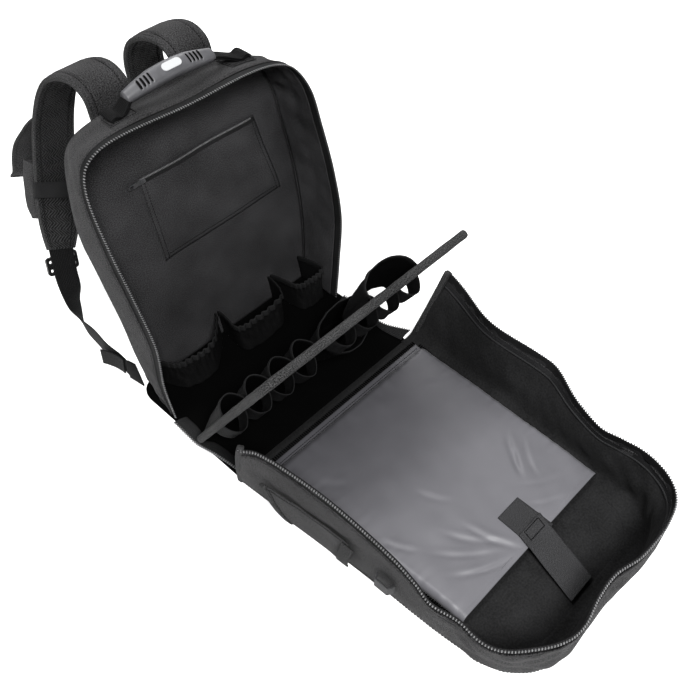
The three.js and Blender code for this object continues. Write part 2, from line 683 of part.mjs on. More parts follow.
// Strap that closes the sleeve: a tab sewn on the sleeve and a strap from the far wall that meets it.
const tabMiddle = sleeveShift + 0.04 * sleeveWidth;
const tabStart = sleeveFar - 0.02 * sleeveLength;
const overSleeve = (x, y) => {
  const v = Math.min((sleeveNear - y) / sleeveLength, 1);
  const half = (sleeveWidth / 2) * mix(1, 0.93, v);
  return sleeveTop(((x - sleeveShift) / half + 1) / 2, v).z + 2 * clearance;
};
const tabUnder = (u, v) => {
  const x = tabMiddle + sleeveStrapWidth * (u - 0.5) * mix(1, 0.6, v ** 3);
  const y = tabStart + sleeveTabLength * v;
  return vector(x, y, overSleeve(x, y));
};
const tabOver = (u, v) => tabUnder(u, v).add(vector(0, 0, clothWall));
piece(group, 'sleeve_tab', slab(tabOver, tabUnder, 4, 5), webbing);
const strapAnchor = onLining(0.498, 0.12, 3 * clearance);
const strapJoin = tabStart + 0.3 * sleeveTabLength;
const strapUnder = (u, v) => {
  const x = mix(strapAnchor.x, tabMiddle, v) + sleeveStrapWidth * (u - 0.5);
  const y = mix(strapAnchor.y, strapJoin, v);
  const overTab = overSleeve(x, Math.max(y, sleeveFar)) + clothWall + clearance;
  const rise = THREE.MathUtils.smoothstep(y, strapAnchor.y, sleeveFar);
  return vector(x, y, mix(strapAnchor.z, overTab, rise));
};
const strapOver = (u, v) => strapUnder(u, v).add(vector(0, 0, clothWall));
piece(group, 'sleeve_strap', slab(strapOver, strapUnder, 2, 10), webbing);

// Pocket and loop on the outside of the flap's left wall; the pocket's mouth slants to the hinge.
const onWall = (station, height, stand) => (
  offsetFace(flapWall, () => stand)(station, shareAt(station, height))
);
const sidePocket = (u, v, stand) => {
  const station = mix(mix(0.086, 0.04, v), 0.163, u);
  const open = sidePocketStand * Math.sqrt(1 - u) * swell(v) ** 0.7;
  return onWall(station, mix(flapFloor, sidePocketRise, v), 2 * clearance + open + stand);
};
const pocketOuter = (u, v) => sidePocket(u, v, clothWall);
const pocketInner = (u, v) => sidePocket(u, v, 0);
piece(group, 'flap_side_pocket', slab(pocketOuter, pocketInner, 8, 4), weave);
const sideLoop = (u, v, stand) => {
  const open = sideLoopStand * swell(u) ** 0.5;
  const height = sidePocketRise * mix(0.58, 0.8, v);
  return onWall(mix(0.202, 0.234, u), height, 2 * clearance + open + stand);
};
const loopOuter = (u, v) => sideLoop(u, v, clothWall);
const loopInner = (u, v) => sideLoop(u, v, 0);
piece(group, 'flap_side_loop', slab(loopOuter, loopInner, 8, 1), webbing);

// Handle: a moulded grip over the top wall, tilted forwards, webbing at both ends, and sewn patches.
const wallTop = (station, depth, stand) => {
  const face = (u, v) => mainWall(u, v * mainDepth);
  return offsetFace(face, () => stand)(station, depth / mainDepth);
};
const gripPlace = (u) => vector(
  mix(-0.52, 0.48, u) * gripLength, handleBack, packHeight + gripRise + gripArch + gripArch * swell(u),
);
const gripTurn = THREE.MathUtils.degToRad(gripTilt);
const gripRing = (u, angle) => {
  const full = mix(0.8, 1, Math.min(1, 6 * Math.min(u, 1 - u)));
  const [across, out] = roundedBox(gripWidth * full, gripThick * full, angle, 0.8);
  return gripPlace(u).add(vector(0, across, out).applyAxisAngle(vector(1, 0, 0), gripTurn));
};
piece(standing, 'handle_grip', loftSolid(gripRing, 12, 10), moulded, 0.6);
const badge = roundedRectangle(
  -badgeLength / 2, badgeLength / 2, -badgeWidth / 2, badgeWidth / 2, badgeWidth / 2.01,
);
const badgeStand = roundedBox(gripWidth, gripThick, 0.4 * Math.PI, 0.8)[1] + clearance;
const badgePlate = plate(badge, badgeStand, badgeStand + clothWall / 2, 5).rotateX(gripTurn);
badgePlate.translate(0, handleBack, gripPlace(0.5).z);
piece(standing, 'handle_badge', badgePlate, 0xd8d8d6, 0.5);
const anchorStations = { left: [0.402, 0.44], right: [0.611, 0.573] };
for (const [side, [outerEnd, innerEnd]] of Object.entries(anchorStations)) {
  const across = (v) => handleBack + anchorWidth * (v - 0.5);
  const lower = (u, v) => wallTop(mix(outerEnd, innerEnd, u), across(v), 2 * clearance);
  const upper = (u, v) => wallTop(mix(outerEnd, innerEnd, u), across(v), 2 * clearance + clothWall);
  piece(standing, `handle_anchor_${side}`, slab(upper, lower, 4, 2), weave);
  const gripEnd = gripPlace(side === 'left' ? 0 : 1);
  const away = side === 'left' ? -1 : 1;
  const band = (u, angle) => {
    const landed = Math.min(1, 2.2 * u);
    const [over, out] = roundedBox(handleWebbing, clothWall, angle);
    const rest = wallTop(mix(innerEnd, outerEnd, 0.15 + 0.7 * u), handleBack, 3 * clearance + 1.6 * clothWall);
    const x = mix(gripEnd.x + away * clearance, rest.x, Math.min(1, 3 * u));
    const height = mix(gripEnd.z - gripThick / 5, rest.z, landed);
    return vector(x, handleBack + over, height + out);
  };
  piece(standing, `handle_webbing_${side}`, loftSolid(band, 8, 8), webbing);
}

// Line of the left shoulder strap and its webbing, from the top of the back to the lower corner:
// across is a share of half the width, behind a share of the straps' reach past the leaning back, up a
// share of the height, twist a share of a quarter turn.
const strapRows = [
  { at: 0, across: 0.365, behind: 0.026, up: 0.848, twist: 0 },
  { at: 0.036, across: 0.365, behind: 0.026, up: 0.905, twist: 0 },
  { at: 0.085, across: 0.365, behind: 0.03, up: 0.98, twist: 0 },
  { at: 0.121, across: 0.365, behind: 0.117, up: 1.005, twist: 0 },
  { at: 0.169, across: 0.365, behind: 0.261, up: 0.992, twist: 0 },
  { at: 0.229, across: 0.371, behind: 0.432, up: 0.947, twist: 0 },
  { at: 0.292, across: 0.394, behind: 0.578, up: 0.868, twist: 0 },
  { at: 0.364, across: 0.441, behind: 0.689, up: 0.761, twist: 0 },
  { at: 0.437, across: 0.506, behind: 0.747, up: 0.647, twist: 0 },
  { at: 0.51, across: 0.588, behind: 0.752, up: 0.538, twist: 0 },
  { at: 0.582, across: 0.706, behind: 0.696, up: 0.447, twist: 0 },
  { at: 0.657, across: 0.847, behind: 0.595, up: 0.371, twist: 0 },
  { at: 0.709, across: 0.894, behind: 0.579, up: 0.294, twist: 0.03 },
  { at: 0.757, across: 0.924, behind: 0.56, up: 0.223, twist: 0.15 },
  { at: 0.799, across: 0.947, behind: 0.558, up: 0.157, twist: 0.5 },
  { at: 0.844, across: 0.976, behind: 0.467, up: 0.117, twist: 0.9 },
  { at: 0.924, across: 0.988, behind: 0.241, up: 0.102, twist: 1 },
  { at: 1, across: 0.982, behind: 0.03, up: 0.085, twist: 1 },
];
const strapLine = (station) => {
  const value = (name) => column(strapRows, name, station);
  const height = packHeight * value('up');
  const depth = backEdge + height * Math.tan(lean) + strapReach * value('behind');
  return vector(-halfWidth * value('across'), depth, height);
};

/** Point beside the strap's line: across its width, and out from its outer face. */
function strapPoint(station, across, out) {
  const step = 0.004;
  const tangent = strapLine(Math.min(station + step, 1)).sub(strapLine(Math.max(station - step, 0)));
  tangent.normalize();
  const flatSide = vector(1, 0, 0).addScaledVector(tangent, -tangent.x).normalize();
  const flatNormal = flatSide.clone().cross(tangent);
  const turn = (Math.PI / 2) * column(strapRows, 'twist', station);
  const side = flatSide.clone().multiplyScalar(Math.cos(turn)).addScaledVector(flatNormal, Math.sin(turn));
  const normal = side.clone().cross(tangent);
  return strapLine(station).addScaledVector(side, across).addScaledVector(normal, out);
}
const padSteps = 18;
const padEnd = 0.657;
const padAt = (step) => (padEnd * step) / padSteps;
const strapRing = (u, angle) => {
  const width = strapWidth * mix(1, 0.86, THREE.MathUtils.smoothstep(u, 0.85, 1));
  const [across, out] = roundedBox(width, strapThick, angle, 0.35);
  return strapPoint(padEnd * u, across, out);
};
const strap = loftSolid(strapRing, padSteps, 10);
piece(group, 'shoulder_strap_left', strap, weave);
piece(group, 'shoulder_strap_right', mirrored(strap), weave);

// Webbing from the end of each strap, the buckle that lies on it, its tab on the bag and loose tail.
const webbingStart = padEnd + 0.001;
const webbingRing = (u, angle) => {
  const [across, out] = roundedBox(webbingWidth, webbingThick, angle);
  return strapPoint(mix(webbingStart, 1, u), across, out);
};
const strapWebbing = loftSolid(webbingRing, 18, 6);
piece(group, 'strap_webbing_left', strapWebbing, webbing);
piece(group, 'strap_webbing_right', mirrored(strapWebbing), webbing);
const buckleOutline = roundedRectangle(
  -buckleWidth / 2, buckleWidth / 2, -buckleLength / 2, buckleLength / 2, buckleLength / 6,
);
for (const middle of [-buckleLength / 4, buckleLength / 4]) {
  const half = webbingWidth / 2 + clothWall;
  const low = middle - buckleSlot / 2;
  buckleOutline.holes.push(roundedRectangle(-half, half, low, low + buckleSlot, buckleThick / 4));
}
const buckleAt = 0.69;
const buckleStand = webbingThick / 2 + 4 * clearance;
const buckleOrigin = strapPoint(buckleAt, 0, buckleStand);
const buckleSide = strapPoint(buckleAt, 1, buckleStand).sub(buckleOrigin);
const buckleOut = strapPoint(buckleAt, 0, buckleStand + 1).sub(buckleOrigin);
const buckleTurn = new THREE.Matrix4().makeBasis(buckleSide, buckleOut.clone().cross(buckleSide), buckleOut);
const buckle = plate(buckleOutline, 0, buckleThick, 2).applyMatrix4(buckleTurn.setPosition(buckleOrigin));
piece(group, 'ladder_buckle_left', buckle, zipBlack, 0.4);
piece(group, 'ladder_buckle_right', mirrored(buckle), zipBlack, 0.4);

const upright = (x, depth, height) => standing.localToWorld(vector(x, depth, height));
standing.updateMatrixWorld(true);
const tabRoot = (v) => {
  const height = footAt(innerBack) + clearance + tabHeight * v;
  return upright(mainWall(0.06, innerBack).x - tabThick, mainDepth - backPad / 2, height);
};
const tabEnd = (v) => {
  const end = strapPoint(1, tabHeight * (0.5 - v), 0);
  return end.add(strapPoint(1, 0, 0).sub(strapPoint(0.996, 0, 0)).setLength(3 * clearance));
};
const tabFace = (u, v) => tabRoot(v).lerp(tabEnd(v), u);
const tabSide = (away) => offsetFace(tabFace, () => (away * tabThick) / 2);
const lowerTab = slab(tabSide(1), tabSide(-1), 4, 2);
piece(group, 'lower_tab_left', lowerTab, webbing);
piece(group, 'lower_tab_right', mirrored(lowerTab), webbing);
const tailStart = 0.99;
const strapLength = tailLength / 0.07;
const tailRing = (u, angle) => {
  const [across, out] = roundedBox(webbingWidth, webbingThick, angle);
  const drift = webbingThick + clearance + 0.15 * tailLength * u ** 2;
  const point = strapPoint(tailStart - (tailLength * u) / strapLength, across, drift + out);
  return point.add(vector(0, 0, -0.3 * tailLength * u ** 1.5));
};
const strapTail = loftSolid(tailRing, 6, 6);
piece(group, 'strap_tail_left', strapTail, webbing);
piece(group, 'strap_tail_right', mirrored(strapTail), webbing);

// Small pouch on the left strap: an elastic keeper round the strap, a gathered body with its mouth
// at the top, and a flap that is sewn to the strap above and curls outwards over the mouth.
const keeperStand = 1.5 * clearance;
const keeperRing = (u, angle, stand) => {
  const grown = 2 * stand;
  const [across, out] = roundedBox(strapWidth + grown, strapThick + grown, angle, 0.35);
  return strapPoint(padAt(mix(14, 15, u)), across, out);
};
const keeperBody = loftSolid((u, angle) => keeperRing(u, angle, keeperStand + webbingThick), 1, 10);
const keeperHole = loftSolid((u, angle) => keeperRing(mix(-1, 2, u), angle, keeperStand), 3, 10);
piece(group, 'strap_keeper_left', cut(keeperBody, keeperHole), webbing);
const pouchRows = [
  { at: 0, thick: 0.86, wide: 0.9 },
  { at: 0.35, thick: 0.97, wide: 1 },
  { at: 0.8, thick: 1, wide: 1 },
  { at: 1, thick: 0.86, wide: 0.9 },
];
const pouchStand = strapThick / 2 + keeperStand + webbingThick + clearance;
const pouchRing = (u, angle, inset) => {
  const thick = pouchThick * column(pouchRows, 'thick', u) - 2 * inset;
  const width = pouchWidth * column(pouchRows, 'wide', u) - 2 * inset;
  const [across, out] = roundedBox(width, thick, angle, 0.4);
  return strapPoint(padAt(mix(13, 16, u)), across, pouchStand + inset + thick / 2 + out);
};
const pouchOuter = loftSolid((u, angle) => pouchRing(u, angle, 0), 6, 12);
const pouchHollow = loftSolid((u, angle) => pouchRing(mix(-0.1, 0.95, u), angle, clothWall), 6, 12);
piece(group, 'pouch_body', cut(pouchOuter, pouchHollow), weave);
const pouchFlapRows = [
  { at: 0, station: 0.365, out: 0 },
  { at: 0.2, station: 0.397, out: 0.34 },
  { at: 0.42, station: 0.427, out: 0.7 },
  { at: 0.6, station: 0.452, out: 1.02 },
  { at: 0.8, station: 0.483, out: 1.28 },
  { at: 0.92, station: 0.504, out: 1.44 },
  { at: 1, station: 0.512, out: 1.68 },
];
const pouchFlap = (u, v) => {
  const station = column(pouchFlapRows, 'station', v);
  const out = strapThick / 2 + clearance + pouchThick * column(pouchFlapRows, 'out', v);
  return strapPoint(station, pouchWidth * (u - 0.5), out);
};
const pouchFlapOver = offsetFace(pouchFlap, () => clothWall);
piece(group, 'pouch_flap', slab(pouchFlapOver, pouchFlap, 3, 12), weave);

export default group;
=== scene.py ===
# A tool backpack of black woven polyester, standing on its base with its front unzipped and folded
# down flat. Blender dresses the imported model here. Sizes are millimetres until a mesh is made.
from math import pi, radians, tan

import bmesh
import bpy
import numpy as np
from mathutils import Matrix


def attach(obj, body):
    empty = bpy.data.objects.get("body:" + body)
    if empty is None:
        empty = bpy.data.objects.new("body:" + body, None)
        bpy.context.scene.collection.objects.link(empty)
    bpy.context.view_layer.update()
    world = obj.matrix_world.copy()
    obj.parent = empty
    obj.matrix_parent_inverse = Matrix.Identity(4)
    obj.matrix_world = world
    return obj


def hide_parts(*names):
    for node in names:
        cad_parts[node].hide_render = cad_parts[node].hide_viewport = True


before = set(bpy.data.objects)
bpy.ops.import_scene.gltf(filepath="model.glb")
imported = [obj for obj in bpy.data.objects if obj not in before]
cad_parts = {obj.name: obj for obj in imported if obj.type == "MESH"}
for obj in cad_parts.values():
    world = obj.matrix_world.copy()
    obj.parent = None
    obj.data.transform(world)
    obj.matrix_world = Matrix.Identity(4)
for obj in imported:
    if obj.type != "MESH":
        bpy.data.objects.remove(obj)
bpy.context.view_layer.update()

# ---------------------------------------------------------------------------------------------------
# Camera, floor and lights: a photographer's white sweep under big soft boxes, with the camera above
# the bag's left front corner, looking down into it.
camera_data = bpy.data.cameras.new("camera")
camera_data.lens = 46.0
camera = bpy.data.objects.new("camera", camera_data)
bpy.context.scene.collection.objects.link(camera)
heading = Matrix.Rotation(radians(-45.79), 4, "Z")
tilt = Matrix.Rotation(radians(41.76), 4, "X") @ Matrix.Rotation(radians(-0.58), 4, "Z")
camera.matrix_world = Matrix.Translation((-0.5115, -0.6215, 0.9445)) @ heading @ tilt
bpy.context.scene.camera = camera
bpy.context.scene.view_settings.view_transform = "Standard"
bpy.context.scene.view_settings.look = "Medium High Contrast"


def finish(name, colour, roughness, **sockets):
    """A material with its shader's plain numbers set, and the two things its pattern is wired to."""
    material = bpy.data.materials.new(name)
    material.use_nodes = True
    tree = material.node_tree
    shader = tree.nodes["Principled BSDF"]
    shader.inputs["Base Color"].default_value = (*colour, 1)
    shader.inputs["Roughness"].default_value = roughness
    for socket, value in sockets.items():
        shader.inputs[socket.replace("_", " ")].default_value = value
    return material, tree, shader


def node(tree, kind, inputs=(), **settings):
    """One shader node, with its inputs wired or set in turn."""
    made = tree.nodes.new(kind)
    for setting, value in settings.items():
        setattr(made, setting, value)
    for socket, value in dict(inputs).items():
        if isinstance(value, bpy.types.NodeSocket):
            tree.links.new(value, made.inputs[socket])
        else:
            made.inputs[socket].default_value = value
    return made


def sum_of(tree, operation, first, second, third=0.0):
    """The output of one Math node."""
    return node(tree, "ShaderNodeMath", {0: first, 1: second, 2: third}, operation=operation).outputs[0]


def noise(tree, scale, detail=2.0):
    """The output of a noise texture that reads Object coordinates."""
    place = node(tree, "ShaderNodeTexCoord").outputs["Object"]
    return node(tree, "ShaderNodeTexNoise", {"Vector": place, "Scale": scale, "Detail": detail}).outputs[0]


def tone_between(tree, share, dark, light):
    """Colours a material between two tones by a share."""
    tone = node(tree, "ShaderNodeMix", {0: share}, data_type="RGBA")
    tone.inputs[6].default_value, tone.inputs[7].default_value = (*dark, 1), (*light, 1)
    tree.links.new(tone.outputs[2], tree.nodes["Principled BSDF"].inputs["Base Color"])


def mottled(name, colour, roughness, scale, tones=(), gloss=(), **sockets):
    """A hard material made uneven by noise: its colour between two tones, or its roughness as a share of
    the noise on top of a least value."""
    material, tree, shader = finish(name, colour, roughness, **sockets)
    uneven = noise(tree, scale)
    if tones:
        tone_between(tree, uneven, *tones)
    if gloss:
        tree.links.new(sum_of(tree, "MULTIPLY_ADD", uneven, *gloss), shader.inputs["Roughness"])
    return material


def mesh_object(name, points, faces, uv=None):
    """A mesh of points in millimetres, with its seams and poles closed, linked into the scene."""
    mesh = bpy.data.meshes.new(name)
    mesh.from_pydata((np.asarray(points) / 1000).tolist(), [], faces.tolist())
    if uv is not None:
        layer = mesh.uv_layers.new(name="cloth")
        layer.data.foreach_set("uv", (uv[faces.ravel()] / 1000).ravel())
    soft = bmesh.new()
    soft.from_mesh(mesh)
    bmesh.ops.remove_doubles(soft, verts=soft.verts, dist=2e-6)
    soft.to_mesh(mesh)
    soft.free()
    mesh.shade_smooth()
    made = bpy.data.objects.new(name, mesh)
    bpy.context.scene.collection.objects.link(made)
    return made


floor_corners = np.array([[-6000, -6000, -1], [6000, -6000, -1], [6000, 6000, -1], [-6000, 6000, -1]])
floor = mesh_object("floor", floor_corners, np.array([[0, 1, 2, 3]]))
floor_paint = mottled(
    "sweep", (0.88, 0.88, 0.88), 0.9, 3.0, tones=((0.87, 0.87, 0.87), (0.89, 0.89, 0.89)),
    Emission_Color=(1, 1, 1, 1), Emission_Strength=0.4,
)
floor.data.materials.append(floor_paint)

world = bpy.data.worlds.new("studio")
world.use_nodes = True
world.node_tree.nodes["Background"].inputs["Color"].default_value = (1, 1, 1, 1)
world.node_tree.nodes["Background"].inputs["Strength"].default_value = 0.1
bpy.context.scene.world = world
soft_boxes = {
    "front_box": ((-0.9, -1.6, 2.3), 84, 0.7),
    "top_box": ((-0.5, 0.7, 2.6), 34, 1.0),
    "back_box": ((1.3, 1.4, 1.5), 16, 1.0),
}
for light_name, (place, power, width) in soft_boxes.items():
    light = bpy.data.lights.new(light_name, "AREA")
    light.energy = power
    light.size = width
    lamp = bpy.data.objects.new(light_name, light)
    bpy.context.scene.collection.objects.link(lamp)
    aim = Matrix.Translation(place).to_translation()
    lamp.matrix_world = Matrix.Translation(place) @ aim.to_track_quat("Z", "Y").to_matrix().to_4x4()

# ---------------------------------------------------------------------------------------------------
# Body of the bag: one wall of coarse polyester that runs up the left side, over the top and down the
# right side, sewn to the back panel behind and to the zip in front, with a soft lining inside.
lean = radians(12)
half_width, height_over_all, main_depth = 170.0, 394.0, 81.0
base_depth = main_depth / np.cos(lean) + 126
back_edge, hinge = base_depth / 2, -base_depth / 2
zip_foot = back_edge - main_depth / np.cos(lean)
zip_tape = 12.0
# Share round the arch, then at the zip: out, up; at the back: out, up; and how far the wall bellies.
arch_rows = np.array([
    [0, -0.985, 0, -0.89, 0, 0.02], [0.06, -0.98, 0.15, -0.91, 0.15, 0.05],
    [0.12, -0.93, 0.3, -0.92, 0.3, 0.06], [0.19, -0.955, 0.51, -0.95, 0.51, 0.06],
    [0.26, -0.99, 0.71, -0.96, 0.7, 0.06], [0.315, -0.995, 0.89, -0.885, 0.875, 0.06],
    [0.35, -0.92, 0.973, -0.8, 0.956, 0.05], [0.39, -0.695, 1.005, -0.61, 0.991, 0.03],
    [0.495, -0.05, 0.992, 0, 1.006, 0.015], [0.59, 0.55, 0.987, 0.53, 1, 0.02],
    [0.645, 0.85, 0.947, 0.81, 0.951, 0.05], [0.695, 1.005, 0.842, 0.955, 0.83, 0.06],
    [0.75, 1.055, 0.69, 0.985, 0.68, 0.06], [0.82, 1.09, 0.5, 1.005, 0.5, 0.06],
    [0.885, 1.075, 0.31, 0.985, 0.31, 0.06], [0.945, 0.96, 0.14, 0.94, 0.15, 0.05],
    [1, 0.85, 0, 0.87, 0, 0.02],
])


def along_rows(rows, at):
    """Rows read at any stations: a cubic through each pair, its slopes centred on the neighbours."""
    knots, values = rows[:, 0], rows[:, 1:]
    before, after = np.maximum(np.arange(len(rows)) - 1, 0), np.minimum(np.arange(len(rows)) + 1, len(rows) - 1)
    slopes = (values[after] - values[before]) / (knots[after] - knots[before])[:, None]
    k = np.clip(np.searchsorted(knots, at, side="right") - 1, 0, len(rows) - 2)
    span = (knots[k + 1] - knots[k])[..., None]
    t = np.clip((np.asarray(at)[..., None] - knots[k][..., None]) / span, 0, 1)
    cube = 2 * t**3 - 3 * t**2
    start = (1 + cube) * values[k] + (t**3 - 2 * t**2 + t) * slopes[k] * span
    return start - cube * values[k + 1] + (t**3 - t**2) * slopes[k + 1] * span


def upright(local):
    """Points of the leaning body, given as (x, depth behind the zip, height up the lean), in the frame."""
    x, depth, height = np.moveaxis(np.asarray(local, float), -1, 0)
    y = zip_foot + depth * np.cos(lean) + height * np.sin(lean)
    return np.stack([x, y, height * np.cos(lean) - depth * np.sin(lean)], -1)


def foot_at(depth, floor_height=4.3):
    """Height up the lean at which a depth behind the zip meets the floor of the bag."""
    return (floor_height + depth * np.sin(lean)) / np.cos(lean)


def arch(station, depth, low=4.3):
    """Local point of the wall: the front and back rows mixed by depth, and a half sine of belly outwards."""
    front_out, front_up, back_out, back_up, belly = np.moveaxis(along_rows(arch_rows, station), -1, 0)
    share = depth / main_depth
    foot = foot_at(np.maximum(depth, zip_tape), low)
    swell = belly * main_depth * np.sin(pi * np.clip(share, 0, 1))
    out = (front_out + (back_out - front_out) * share) * half_width
    up = front_up + (back_up - front_up) * share
    height = foot + up * (height_over_all - foot) + swell * np.sin(pi * station) ** 4
    return np.stack(np.broadcast_arrays(out - swell * np.cos(pi * station), depth, height), -1)


def steps(u_count, v_count):
    """Two arrays of shares from 0 to 1, one down the rows and one along them."""
    return np.meshgrid(np.linspace(0, 1, u_count), np.linspace(0, 1, v_count), indexing="ij")


def unit(vectors):
    """Vectors brought to length 1."""
    return vectors / np.maximum(np.linalg.norm(vectors, axis=-1, keepdims=True), 1e-9)


def grid_normals(points, loop=False):
    """Unit normals of a grid: the cross product of its two central differences."""
    ends = "wrap" if loop else "edge"
    ringed = np.pad(points, ((0, 0), (1, 1), (0, 0)), ends)
    along_v = ringed[:, 2:] - ringed[:, :-2]
    return unit(np.cross(np.gradient(points, axis=0), along_v))


def outward(points, middle):
    """Unit normals of a grid, on the side away from a middle point."""
    normals = grid_normals(points)
    return normals * np.sign((normals * (points - np.asarray(middle, float))).sum(-1, keepdims=True))


def crumple(x, y, size, seed):
    """Smooth uneven waves between about -1 and 1: seven sines that run in seeded directions."""
    dice = np.random.default_rng(seed)
    heading, wave, phase = dice.uniform(0, pi, 7), dice.uniform(0.7, 1.5, 7), dice.uniform(0, 2 * pi, 7)
    total = sum(
        np.sin(2 * pi * w * (x * np.cos(h) + y * np.sin(h)) / size + p + 0.8 * np.sin(2 * pi * y / size / 2 + p))
        for h, w, p in zip(heading, wave, phase)
    )
    return total / 3.2


def arc_lengths(points):
    """UV in millimetres: the distance run along each of the two directions, averaged over the other."""
    run_u = np.linalg.norm(np.diff(points, axis=0, prepend=points[:1]), axis=-1).cumsum(0)
    run_v = np.linalg.norm(np.diff(points, axis=1, prepend=points[:, :1]), axis=-1).cumsum(1)
    return np.stack([np.broadcast_to(run_u.mean(1)[:, None], run_u.shape), run_v], -1)


def grid_faces(rows, columns):
    """Four corners of every cell of a grid of points, counted row by row."""
    corner = (np.arange(rows - 1)[:, None] * columns + np.arange(columns - 1)).ravel()
    return np.stack([corner, corner + columns, corner + columns + 1, corner + 1], -1)


def face_out(mesh):
    """Turns the faces of a closed mesh outwards."""
    shell = bmesh.new()
    shell.from_mesh(mesh)
    bmesh.ops.recalc_face_normals(shell, faces=shell.faces)
    shell.to_mesh(mesh)
    shell.free()


def surface(name, points, material, slot, *nodes, within=None, thick=0.0, closed=False, weave_map=None):
    """A piece from a grid of points. An open one faces away from `within` and gets its thickness inwards;
    a closed one has its normals turned outwards. Its weave follows the grid unless a map is given."""
    rows, columns = points.shape[:2]
    weave_map = arc_lengths(points) if weave_map is None else np.asarray(weave_map)
    made = mesh_object(name, points.reshape(-1, 3), grid_faces(rows, columns), weave_map.reshape(-1, 2))
    if closed:
        face_out(made.data)
    else:
        facing = (grid_normals(points) * (points - np.asarray(within))).sum()
        if facing < 0:
            made.data.flip_normals()
    if thick:
        wall = made.modifiers.new("thickness", "SOLIDIFY")
        wall.thickness = thick / 1000
        wall.offset = -1
    made.data.materials.append(material)
    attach(made, "root")
    if nodes:
        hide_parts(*nodes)
    return made


def as_sheet(points):
    """Works out a grid's run in both directions, and keeps nothing of it."""
    run = arc_lengths(points)


def raised(tree, height, strength, distance):
    """Bumps a material by a height."""
    bump = node(tree, "ShaderNodeBump", {"Strength": strength, "Distance": distance, "Height": height})
    tree.links.new(bump.outputs[0], tree.nodes["Principled BSDF"].inputs["Normal"])


def woven(name, dark, light, pitch, kind, grain=0.6, relief=0.5, roughness=0.85, **sockets):
    """Cloth whose threads follow its UV map: two crossing waves for a basket weave, one slanted wave for
    twill, one wave for ribs, over uneven yarn and slow patches of wear."""
    material, tree, _ = finish(name, light, roughness, **{"Specular_IOR_Level": 0.2, **sockets})
    place = node(tree, "ShaderNodeUVMap", uv_map="cloth").outputs[0]
    parts = node(tree, "ShaderNodeSeparateXYZ", {0: place})
    u, v = (sum_of(tree, "MULTIPLY", parts.outputs[i], 2 * pi / pitch) for i in (0, 1))
    if kind == "basket":
        across, down = sum_of(tree, "SINE", u, 0), sum_of(tree, "SINE", v, 0)
        threads = sum_of(tree, "MULTIPLY", across, down)
    elif kind == "twill":
        threads = sum_of(tree, "SINE", sum_of(tree, "ADD", u, v), 0)
    elif kind == "herringbone":
        zigzag = sum_of(tree, "PINGPONG", u, 4 * pi)
        threads = sum_of(tree, "SINE", sum_of(tree, "ADD", zigzag, v), 0)
    else:
        threads = sum_of(tree, "SINE", v, 0)
    yarn = node(tree, "ShaderNodeTexNoise", {"Vector": place, "Scale": 1.5 / pitch, "Detail": 2.0}).outputs[0]
    patches = node(tree, "ShaderNodeTexNoise", {"Vector": place, "Scale": 14.0, "Detail": 2.0}).outputs[0]
    weave = sum_of(tree, "MULTIPLY_ADD", threads, 0.5 * (1 - grain), 0.5)
    uneven = sum_of(tree, "MULTIPLY_ADD", yarn, 4.6 * grain, -2.3 * grain)
    worn = sum_of(tree, "MULTIPLY_ADD", patches, 0.7, -0.35)
    height = sum_of(tree, "ADD", weave, uneven)
    tone_between(tree, sum_of(tree, "ADD", height, worn), dark, light)
    raised(tree, height, relief, 0.35 * pitch)
    return material


weave_cloth = woven(
    "coarse_polyester", (0.002, 0.002, 0.002), (0.074, 0.073, 0.075), 0.0024, "basket", grain=0.5, relief=0.8,
    Sheen_Weight=0.05, Sheen_Roughness=0.4,
)
lining_cloth = woven(
    "lining_polyester", (0.003, 0.003, 0.003), (0.08, 0.079, 0.082), 0.0018, "basket", grain=0.45, roughness=0.6,
)
# A darker copy of the lining cloth, as painted shade, for the pockets at the foot of the back and for the divider's
# cloth.
painted_shade_lining = woven(
    "lining_in_painted_shade", (0.0005, 0.0005, 0.0005), (0.014, 0.014, 0.0145), 0.0018, "basket", grain=0.5, roughness=0.7,
)
bag_middle = (0, 40, 190)
inside = upright(bag_middle)


def wall_folds(u, v):
    """Shallow dents in a soft wall: broad waves, and short creases that gather at the arch's corners."""
    corner = np.exp(-((u - 0.34) / 0.04) ** 2) + np.exp(-((u - 0.66) / 0.045) ** 2)
    low = np.exp(-((u - 0.03) / 0.03) ** 2) + np.exp(-((u - 0.97) / 0.03) ** 2)
    broad = 2.0 * crumple(u * 1100, v * 60, 140, 3)
    creases = (0.25 + corner + low) * 1.5 * crumple(u * 1100, v * 60, 36, 4)
    return (broad + creases) * np.sin(pi * v) ** 0.6


def hemmed(run, fold=3.0):
    """Relief of a folded and topstitched edge, by distance from it: a raised fold, a sewn groove after it."""
    return 0.9 * np.clip(1 - (run / fold) ** 6, 0, 1) - 1.5 * np.exp(-(((run - fold) / 1.3) ** 2))


u, v = steps(420, 64)
gusset_depth = zip_tape + 0.3 + v * (main_depth - 0.3 - zip_tape)
gusset_flat = arch(u, gusset_depth, 0.5)
turned_in = 3.0 * np.clip((v - 0.9) / 0.1, 0, 1) ** 2
gusset_out = outward(gusset_flat, bag_middle)
hem_relief = hemmed(gusset_depth - zip_tape - 0.3)
gusset = gusset_flat + gusset_out * (wall_folds(u, v) + hem_relief - 1.0 - turned_in)[..., None]
wall = surface("main_gusset", upright(gusset), weave_cloth, "weave", "main_wall", within=inside, thick=1.4)
as_sheet(upright(gusset))

